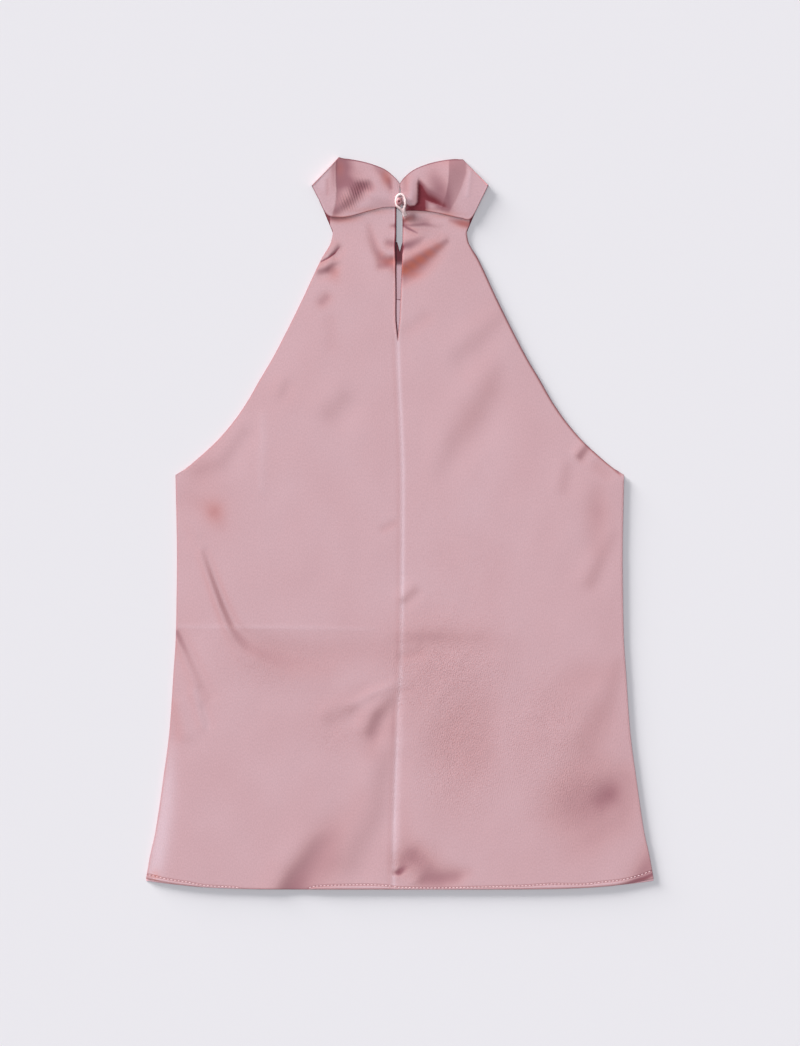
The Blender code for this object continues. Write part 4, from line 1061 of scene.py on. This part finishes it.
def collar_points():
    """The outer face of the collar, from its right end round the neck to its left one, in rows upwards."""
    right = [*RIGHT_WING, *crest_sections(RIGHT_CREST, RIGHT_WING[-1]), *mirrored(UNDER_BAND)]
    left = [*LEFT_WING, *crest_sections(LEFT_CREST, LEFT_WING[-1]), *UNDER_BAND[:-1]]
    sections = right + left[::-1]
    places = np.linspace(0.0, len(sections) - 1, COLLAR_ALONG + 1)
    seam_x, seam_h, fold_x, fold_h, seam_z, fold_z, crown = on_rows(sections, places).T
    up = np.linspace(0.0, 1.0, COLLAR_ACROSS + 1)[:, None]
    x = seam_x + (fold_x - seam_x) * up
    height = seam_h + (fold_h - seam_h) * up
    in_notch = smooth_step(np.abs(x), *NOTCH_STARTS) * (1 - smooth_step(np.abs(x), *NOTCH_ENDS))
    in_notch = in_notch * (height < NOTCH_BELOW)
    height = height + NECK_NOTCH * up**3 * in_notch
    level = seam_z + (fold_z - seam_z) * (1 - (1 - up) ** WING_ROLL)
    arch = (1 - (1 - up) ** WING_ARCH) * (1 - up**WING_ARCH)
    held = (1 - (1 - up) ** HELD_AT_SEAM) * (1 - up**HELD_AT_FOLD)
    on_wing = smooth_step(fold_z, WING_STARTS, WING_ENDS)
    relief, dull = all_creases(COLLAR_CREASES, x, height)
    relief = relief + waved(WING_WAVES, x, height)
    z = level + crown * arch + relief * held * on_wing
    over = z - WING_FLOOR
    z = z + (0.5 * (np.sqrt(over**2 + FLOOR_SOFTNESS) - over)) * on_wing
    above_seam, below_fold = up * COLLAR_HEIGHT, (1 - up) * COLLAR_HEIGHT
    # Thin lines of shade are painted along the collar's edges, and shade on it inside the neck.
    rim = line_at(SEAM_RIM, above_seam) + line_at(SEAM_LIGHT, above_seam) + line_at(FOLD_RIM, below_fold)
    in_slit = (1 - smooth_step(height, *IN_SLIT)) * hump(x, 0.0, SLIT_HALF_WIDTH)
    shaded = (1 - smooth_step(fold_z, SHADE_STARTS, WING_STARTS)) * (1 - in_slit)
    dull = np.minimum(dull + rim, WING_SHADE_LIMIT) * on_wing + NECK_SHADE * shaded
    warm = warmed(x, height) * on_wing
    wall = np.full(x.shape, COLLAR_WALL)
    return np.stack([x, height, z, dull, worn(RIBBED, x, height), warm, wall], axis=-1)


def placed(points):
    """Points of the tables in the part's own frame, in metres."""
    return (np.asarray(points, dtype=float) - (0.0, LENGTH / 2, 0.0)) * MM


def normals_of(points):
    along = np.gradient(points, axis=1)
    up = np.gradient(points, axis=0)
    normal = np.cross(along, up)
    return normal / np.linalg.norm(normal, axis=-1, keepdims=True)


def new_mesh(name, vertices, faces):
    mesh = bpy.data.meshes.new(name)
    mesh.from_pydata(placed(vertices).tolist(), [], faces)
    mesh.update()
    return mesh


def unwrap(mesh, flat):
    """Lays the weave on the mesh, where each vertex has this place in the flat cloth, in metres."""
    layer = mesh.uv_layers.new(name="weave")
    corner = np.empty(len(mesh.loops), dtype=np.int32)
    mesh.loops.foreach_get("vertex_index", corner)
    layer.data.foreach_set("uv", flat[corner].astype(np.float32).ravel())


def as_piece(mesh, material):
    mesh.shade_smooth()
    piece = bpy.data.objects.new(mesh.name, mesh)
    piece.data.materials.append(material)
    bpy.context.scene.collection.objects.link(piece)
    return piece


def cloth(name, points, material, lining=None):
    """A thin shell whose outer face has these rows of points, with its wall inside and its rims round.

    Each point has its place and then how much of the cloth's sheen it loses and how much shade is painted
    there, how worn it is, how warm the light painted on it and how thick it stands.
    """
    looks, wall = points[..., 3:6], points[..., 6:]
    points = points[..., :3]
    rows, columns = points.shape[:2]
    outward = normals_of(points)
    inner = points - outward * wall
    last_row, last_column = rows - 1, columns - 1
    rim = [(0, c) for c in range(columns)]
    rim += [(r, last_column) for r in range(1, rows)]
    rim += [(last_row, c) for c in range(columns - 2, -1, -1)]
    rim += [(r, 0) for r in range(rows - 2, 0, -1)]
    row_of, column_of = np.array(rim).T
    edge = points[row_of, column_of]
    run = np.roll(edge, -1, axis=0) - np.roll(edge, 1, axis=0)
    outside = np.cross(run, outward[row_of, column_of])
    outside /= np.linalg.norm(outside, axis=-1, keepdims=True)
    wall = wall[row_of, column_of]
    thin = np.minimum(wall, CLOTH_WALL)
    rounded = edge - outward[row_of, column_of] * thin / 2 + outside * thin * RIM_BULGE

    count = rows * columns
    number = np.arange(count).reshape(rows, columns)
    corners = [number[:-1, :-1], number[:-1, 1:], number[1:, 1:], number[1:, :-1]]
    outer_faces = np.stack(corners, axis=-1).reshape(-1, 4)
    inner_faces = outer_faces[:, ::-1] + count
    ring = 2 * count + np.arange(len(rim))
    top = number[row_of, column_of]
    after = np.roll(np.arange(len(rim)), -1)
    upper = np.stack([top[after], top, ring, ring[after]], axis=-1)
    lower = np.stack([ring[after], ring, top + count, top[after] + count], axis=-1)
    faces = np.concatenate([outer_faces, inner_faces, upper, lower])
    vertices = np.concatenate([points.reshape(-1, 3), inner.reshape(-1, 3), rounded])
    vertices[:, 2] = np.maximum(vertices[:, 2], 0.0)

    mesh = new_mesh(name, vertices, faces.tolist())
    flat = points[..., :2] * MM
    if lining:
        along = np.linalg.norm(np.diff(points, axis=1), axis=-1).mean(0).cumsum()
        along = np.broadcast_to(np.pad(along, (1, 0)), (rows, columns))
        flat = np.stack([along * MM, flat[..., 1]], axis=-1)
    unwrap(mesh, np.concatenate([flat.reshape(-1, 2), flat.reshape(-1, 2), flat[row_of, column_of]]))
    under = looks.copy()
    # Painted shade on the rims and on the inner face along the edges.
    under[row_of, column_of, 0] += EDGE_SHADE
    looks = np.concatenate([looks.reshape(-1, 3), under.reshape(-1, 3), under[row_of, column_of]])
    for key, values in zip(("dull", "worn", "warm"), looks.T.astype(np.float32)):
        mesh.attributes.new(key, "FLOAT", "POINT").data.foreach_set("value", np.ascontiguousarray(values))
    piece = as_piece(mesh, material)
    mesh.set_sharp_from_angle(angle=math.radians(SHARPEST_SMOOTH))
    if lining:
        piece.data.materials.append(lining)
        inside = np.zeros(len(faces), dtype=np.int32)
        inside[len(outer_faces) : len(outer_faces) + len(inner_faces)] = 1
        mesh.polygons.foreach_set("material_index", inside)
    return piece


def tube(name, line, radius, sides, material):
    """A cord along these points, with its ends closed."""
    line = np.asarray(line, dtype=float)
    way = np.gradient(line, axis=0)
    way /= np.linalg.norm(way, axis=1, keepdims=True)
    across = np.cross(way, (0.0, 0.0, 1.0))
    across /= np.linalg.norm(across, axis=1, keepdims=True)
    other = np.cross(across, way)
    turn = np.linspace(0.0, 2 * math.pi, sides, endpoint=False)
    ring = np.cos(turn)[None, :, None] * across[:, None, :]
    ring = ring + np.sin(turn)[None, :, None] * other[:, None, :]
    vertices = (line[:, None, :] + radius * ring).reshape(-1, 3)
    rings = len(line)
    number = np.arange(rings * sides).reshape(rings, sides)
    after = np.roll(number, -1, axis=1)
    faces = np.stack([number[:-1], number[1:], after[1:], after[:-1]], axis=-1)
    faces = faces.reshape(-1, 4).tolist()
    faces += [number[0].tolist(), number[-1][::-1].tolist()]
    mesh = new_mesh(name, vertices, faces)
    run = np.concatenate([[0.0], np.linalg.norm(np.diff(line, axis=0), axis=1).cumsum()])
    unwrap(mesh, np.stack([np.repeat(run, sides), np.tile(turn * radius, rings)], axis=1) * MM)
    return as_piece(mesh, material)


def linear(colour):
    """The linear channels of an sRGB colour given in hex, with full opacity."""
    channels = [int(colour[i : i + 2], 16) / 255 for i in (0, 2, 4)]
    return (*(c / 12.92 if c < 0.04045 else ((c + 0.055) / 1.055) ** 2.4 for c in channels), 1.0)


def add(tree, kind, settings=None, **inputs):
    """Adds a node with these settings, and with these values or links into its inputs."""
    node = tree.nodes.new(kind)
    for key, value in (settings or {}).items():
        setattr(node, key, value)
    for key, value in inputs.items():
        socket = node.inputs[int(key[1:])] if key[0] == "_" else node.inputs[key.replace("_", " ")]
        if isinstance(value, bpy.types.NodeSocket):
            tree.links.new(value, socket)
        else:
            socket.default_value = value
    return node


def blank(name):
    """A new material and its Principled shader."""
    material = bpy.data.materials.new(name)
    material.use_nodes = True
    return material, material.node_tree, material.node_tree.nodes["Principled BSDF"]


def satin(name, colour, pale, grain, rib, pitch=1.9, lean=0.22):
    """Woven polyester satin: long smooth floats, so a sheen on the flat that a slope at once loses.

    grain and rib are how rough it and how ribbed it is, each where it is unworn and where it is worn.
    """
    material, tree, shader = blank(name)
    cloth_uv = add(tree, "ShaderNodeUVMap", {"uv_map": "weave"}).outputs["UV"]
    # The threads are about 0.1 mm apart, and are drawn 1 mm apart so that they show.
    threads = add(tree, "ShaderNodeMapping", Vector=cloth_uv, Scale=(1050.0, 560.0, 1.0))
    slubs = add(tree, "ShaderNodeTexNoise", Vector=threads.outputs[0], Scale=1.0, Detail=2.0)
    # The fine twill line of the weave, drawn this many millimetres apart.
    slant = add(tree, "ShaderNodeMapping", Vector=cloth_uv, Rotation=(0.0, 0.0, lean))
    twill = add(
        tree,
        "ShaderNodeTexWave",
        {"bands_direction": "X"},
        Vector=slant.outputs[0],
        Scale=math.pi / 10 / (pitch * MM),
        Distortion=1.2,
        Detail=1.0,
    )
    flecks = add(tree, "ShaderNodeMapping", Vector=cloth_uv, Scale=(800.0, 520.0, 1.0))
    fleck = add(tree, "ShaderNodeTexNoise", Vector=flecks.outputs[0], Scale=1.0, Detail=1.0)
    clouds = add(tree, "ShaderNodeTexNoise", Vector=cloth_uv, Scale=28.0, Detail=2.0)
    mixed = add(tree, "ShaderNodeMath", {"operation": "MULTIPLY_ADD"}, _0=clouds.outputs["Fac"], _1=0.25)
    spread = add(
        tree,
        "ShaderNodeMapRange",
        Value=fleck.outputs["Fac"],
        From_Min=0.3,
        From_Max=0.7,
        To_Max=0.75,
    )
    tree.links.new(spread.outputs["Result"], mixed.inputs[2])
    tint = add(tree, "ShaderNodeMix", {"data_type": "RGBA"}, Factor=mixed.outputs["Value"])
    tint.inputs["A"].default_value = linear(colour)
    tint.inputs["B"].default_value = linear(pale)
    amounts = {
        key: add(tree, "ShaderNodeAttribute", {"attribute_name": key}).outputs["Fac"]
        for key in ("dull", "warm", "worn")
    }
    tone = tint.outputs["Result"]
    # Shade is painted into the base colour: mauve, maroon and nearly black as the sheen's attribute rises,
    # and brick where bounce light is painted.
    for shade in SHADES:
        amount = amounts[shade.attribute]
        depth = add(tree, "ShaderNodeMapRange", Value=amount, From_Min=shade.none, From_Max=shade.full)
        sunk = add(tree, "ShaderNodeMix", {"data_type": "RGBA"}, Factor=depth.outputs["Result"])
        tree.links.new(tone, sunk.inputs["A"])
        sunk.inputs["B"].default_value = linear(shade.colour)
        tone = sunk.outputs["Result"]
    tree.links.new(tone, shader.inputs["Base Color"])
    rough = add(
        tree,
        "ShaderNodeMapRange",
        Value=amounts["dull"],
        From_Min=-0.5,
        From_Max=1.6,
        To_Min=0.24,
        To_Max=0.91,
    )
    tree.links.new(rough.outputs["Result"], shader.inputs["Roughness"])
    strengths = [
        add(tree, "ShaderNodeMapRange", Value=amounts["worn"], From_Min=UNWORN, To_Min=low, To_Max=high)
        for low, high in (rib, grain)
    ]
    ribbed, rubbed = (strength.outputs["Result"] for strength in strengths)
    lines = add(tree, "ShaderNodeBump", Height=twill.outputs["Fac"], Distance=0.0001, Strength=ribbed)
    bump = add(
        tree,
        "ShaderNodeBump",
        Height=slubs.outputs["Fac"],
        Distance=0.0001,
        Strength=rubbed,
        Normal=lines.outputs["Normal"],
    )
    tree.links.new(bump.outputs["Normal"], shader.inputs["Normal"])
    shader.inputs["IOR"].default_value = 1.57
    shader.inputs["Specular IOR Level"].default_value = 0.75
    shader.inputs["Specular Tint"].default_value = linear("d9f0ff")
    return material


def cord_satin():
    """A narrow turned tube of satin: its weave winds round it, and it shines along its top."""
    material, tree, shader = blank("satin_cord")
    cloth_uv = add(tree, "ShaderNodeUVMap", {"uv_map": "weave"}).outputs["UV"]
    slant = add(tree, "ShaderNodeMapping", Vector=cloth_uv, Rotation=(0.0, 0.0, 0.7))
    wound = add(tree, "ShaderNodeTexWave", Vector=slant.outputs[0], Scale=260.0, Distortion=0.8)
    bump = add(tree, "ShaderNodeBump", Height=wound.outputs["Fac"], Distance=0.0002, Strength=0.35)
    tree.links.new(bump.outputs["Normal"], shader.inputs["Normal"])
    # Paler than the satin of the garment: painted light standing in for its highlights.
    shader.inputs["Base Color"].default_value = linear("f2d6d6")
    shader.inputs["Roughness"].default_value = 0.2
    shader.inputs["IOR"].default_value = 1.57
    shader.inputs["Specular IOR Level"].default_value = 1.0
    return material


def thread():
    """Polyester sewing thread, twisted and a little shiny."""
    material, tree, shader = blank("polyester_thread")
    place = add(tree, "ShaderNodeTexCoord").outputs["Object"]
    twist = add(tree, "ShaderNodeTexNoise", Vector=place, Scale=2500.0)
    bump = add(tree, "ShaderNodeBump", Height=twist.outputs["Fac"], Distance=0.0001, Strength=0.4)
    tree.links.new(bump.outputs["Normal"], shader.inputs["Normal"])
    shader.inputs["Base Color"].default_value = linear("f0d2d6")
    shader.inputs["Roughness"].default_value = 0.5
    return material


def studio_paper():
    """A pale matt paper floor."""
    material, tree, shader = blank("studio_paper")
    place = add(tree, "ShaderNodeTexCoord").outputs["Object"]
    fibre = add(tree, "ShaderNodeTexNoise", Vector=place, Scale=300.0)
    bump = add(tree, "ShaderNodeBump", Height=fibre.outputs["Fac"], Distance=0.0001, Strength=0.05)
    tree.links.new(bump.outputs["Normal"], shader.inputs["Normal"])
    shader.inputs["Base Color"].default_value = linear("e5e4e8")
    shader.inputs["Roughness"].default_value = 0.95
    shader.inputs["Specular IOR Level"].default_value = 0.0
    return material


def hem_stitches(name, spans, material):
    """A row of stitches along the hem of the back: short rounded threads sunk in the cloth."""
    turn = np.linspace(0.0, 2 * math.pi, THREAD_SIDES, endpoint=False)
    vertices, faces = [], []
    for low, high in spans:
        for x in np.arange(low, high, STITCH_PITCH):
            side = 1 if x > read(CENTRE_BACK, 1, SEAM_AT_HEM) else -1
            spots = np.array([x - STITCH_REACH, x, x + STITCH_REACH])
            heights = hem_height(BACK_HEM, spots) + read(HEM_BAND, 1, spots)
            levels, _ = back_surface(side, spots, heights)
            way = np.array([2 * STITCH_REACH, heights[2] - heights[0], levels[2] - levels[0]])
            way /= np.linalg.norm(way)
            across = np.cross((0.0, 0.0, 1.0), way)
            across /= np.linalg.norm(across)
            other = np.cross(way, across)
            middle = np.array([x, heights[1], levels[1] + STITCH_LIFT])
            start = len(vertices)
            for place, share in STITCH_PROFILE:
                centre = middle + way * place * STITCH_LENGTH / 2 - other * STITCH_SAG * place**2
                for angle in turn:
                    spread = math.cos(angle) * across + math.sin(angle) * other
                    vertices.append(centre + spread * THREAD_RADIUS * share)
            end = len(vertices) - THREAD_SIDES
            for ring in range(start, end, THREAD_SIDES):
                for k in range(THREAD_SIDES):
                    a, b = ring + k, ring + (k + 1) % THREAD_SIDES
                    faces.append((a, b, b + THREAD_SIDES, a + THREAD_SIDES))
            faces.append(tuple(start + k for k in range(THREAD_SIDES - 1, -1, -1)))
            faces.append(tuple(end + k for k in range(THREAD_SIDES)))
    return as_piece(new_mesh(name, vertices, faces), material)


def button(material):
    """A satin-covered button: a dome whose cover is gathered under a flat back with a shank."""
    bpy.ops.object.select_all(action="DESELECT")
    bpy.ops.mesh.primitive_uv_sphere_add(segments=BUTTON_SEGMENTS, ring_count=BUTTON_RINGS, radius=MM)
    piece = bpy.context.active_object
    piece.name = "covered_button"
    piece.data.name = "covered_button"
    bpy.ops.object.mode_set(mode="EDIT")
    bpy.ops.mesh.select_all(action="SELECT")
    size = (BUTTON_HALF_WIDTH, BUTTON_HALF_LENGTH, BUTTON_HALF_THICKNESS)
    bpy.ops.transform.resize(value=size)
    bpy.ops.mesh.select_all(action="DESELECT")
    bpy.ops.object.mode_set(mode="OBJECT")
    highest = max(piece.data.vertices, key=lambda vertex: vertex.co.z)
    highest.select = True
    bpy.ops.object.mode_set(mode="EDIT")
    bpy.ops.transform.translate(
        value=(0.0, 0.0, -BUTTON_DIMPLE * MM),
        use_proportional_edit=True,
        proportional_edit_falloff="SMOOTH",
        proportional_size=DIMPLE_REACH * MM,
    )
    bpy.ops.mesh.select_all(action="SELECT")
    bpy.ops.mesh.bisect(
        plane_co=(0.0, 0.0, -BUTTON_BACK * BUTTON_HALF_THICKNESS * MM),
        plane_no=(0.0, 0.0, 1.0),
        use_fill=True,
        clear_inner=True,
    )
    bpy.ops.mesh.inset(thickness=SHANK_INSET * MM)
    bpy.ops.mesh.extrude_region_move(TRANSFORM_OT_translate={"value": (0.0, 0.0, -SHANK_LENGTH * MM)})
    bpy.ops.mesh.select_all(action="SELECT")
    middle = Vector(placed((BUTTON_X, BUTTON_HEIGHT, BUTTON_Z)))
    bpy.ops.transform.translate(value=middle)
    bpy.ops.mesh.normals_make_consistent(inside=False)
    bpy.ops.object.mode_set(mode="OBJECT")
    bpy.ops.object.shade_smooth_by_angle(angle=math.radians(BUTTON_SMOOTH))
    layer = piece.data.uv_layers.active
    layer.name = "weave"
    for loop in piece.data.loops:
        spot = piece.data.vertices[loop.vertex_index].co
        layer.data[loop.index].uv = (spot.x, spot.y)
    # Shade painted on the cover of the button, darkest in its dimple.
    sheen_and_shade_layer = piece.data.attributes.new("dull", "FLOAT", "POINT")
    for vertex, value in zip(piece.data.vertices, sheen_and_shade_layer.data):
        away = (vertex.co - middle).xy.length / (DIMPLE_SHADE_WIDTH * MM)
        value.value = BUTTON_SHADE + DIMPLE_SHADE * math.exp(-(away**2))
    piece.data.materials.append(material)
    return piece


def put_on(piece, slot, *nodes):
    """The piece moves with the garment, and stands for these solids."""
    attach(piece, BODY)
    if nodes:
        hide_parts(*nodes)
    return piece


def add_sun(sun):
    """A soft light from a long way off."""
    data = bpy.data.lights.new(sun.name, "SUN")
    data.energy = sun.energy
    data.angle = math.radians(sun.angle)
    data.color = linear(sun.colour)[:3]
    lamp = bpy.data.objects.new(sun.name, data)
    up, around = math.radians(sun.elevation), math.radians(sun.azimuth)
    level = math.cos(up)
    towards = Vector((level * math.cos(around), level * math.sin(around), math.sin(up)))
    lamp.rotation_mode = "QUATERNION"
    lamp.rotation_quaternion = towards.to_track_quat("Z", "Y")
    lamp.location = towards * 2
    bpy.context.scene.collection.objects.link(lamp)


def studio():
    """The camera, the floor and the light."""
    data = bpy.data.cameras.new("camera")
    data.lens = CAMERA_LENS
    data.sensor_width = CAMERA_SENSOR
    data.clip_start, data.clip_end = 0.01, 100.0
    camera = bpy.data.objects.new("camera", data)
    distance = VIEW_LENGTH / CAMERA_SENSOR * CAMERA_LENS
    camera.location = Vector((*VIEW_MIDDLE, distance)) * MM
    bpy.context.scene.collection.objects.link(camera)
    bpy.context.scene.camera = camera

    bpy.ops.object.select_all(action="DESELECT")
    bpy.ops.mesh.primitive_plane_add(size=FLOOR_SIZE, location=(0.0, 0.0, -FLOOR_BELOW * MM))
    floor = bpy.context.active_object
    floor.name = "floor"
    floor.data.materials.append(studio_paper())

    for sun in SUNS:
        add_sun(sun)
    world = bpy.data.worlds.new("world")
    bpy.context.scene.world = world
    world.use_nodes = True
    background = world.node_tree.nodes["Background"]
    background.inputs["Color"].default_value = linear(ROOM_COLOUR)
    background.inputs["Strength"].default_value = ROOM_LIGHT
    bpy.context.scene.view_settings.view_transform = "Standard"


def main():
    panel = satin("satin_pink", "b57d7d", "c08787", grain=(0.7, 3.2), rib=(0.15, 0.2))
    outside = satin("satin_collar", "b57c7d", "c08687", (0.5, 0.5), (0.15, 3.0), pitch=2.3, lean=-0.5)
    # The wrong side and the lining are paler than the face of the satin, as its back is, and partly
    # painted light against the shade they lie in within the slit.
    wrong_side = satin("satin_wrong_side", "eba8ac", "eeafb3", grain=(0.4, 0.4), rib=(0.2, 0.2))
    lining = satin("satin_lining", "e6a0a3", "eaa6a9", grain=(0.4, 0.4), rib=(0.2, 0.2))
    cover = satin("satin_button", "b57d7d", "c08787", grain=(0.3, 0.3), rib=(0.2, 0.2))

    front = put_on(cloth("front_cloth", front_points(), wrong_side), "panel_satin", "front_panel")
    left = put_on(cloth("back_left_cloth", back_points(-1), panel), "panel_satin", "back_left_panel")
    right = put_on(cloth("back_right_cloth", back_points(1), panel), "panel_satin", "back_right_panel")
    band = put_on(cloth("collar_cloth", collar_points(), outside, lining), "collar_satin", "collar")

    sewing = hem_stitches("hem_stitching", STITCHED, thread())
    put_on(sewing, "panel_satin")
    put_on(button(cover), "button_satin", "button")
    route = on_rows(LOOP_ROUTE, np.linspace(0.0, len(LOOP_ROUTE) - 1, LOOP_RINGS))
    loop = tube("cord_loop", route, LOOP_RADIUS, LOOP_SIDES, cord_satin())
    put_on(loop, "cord_satin", "button_loop")

    studio()


main()
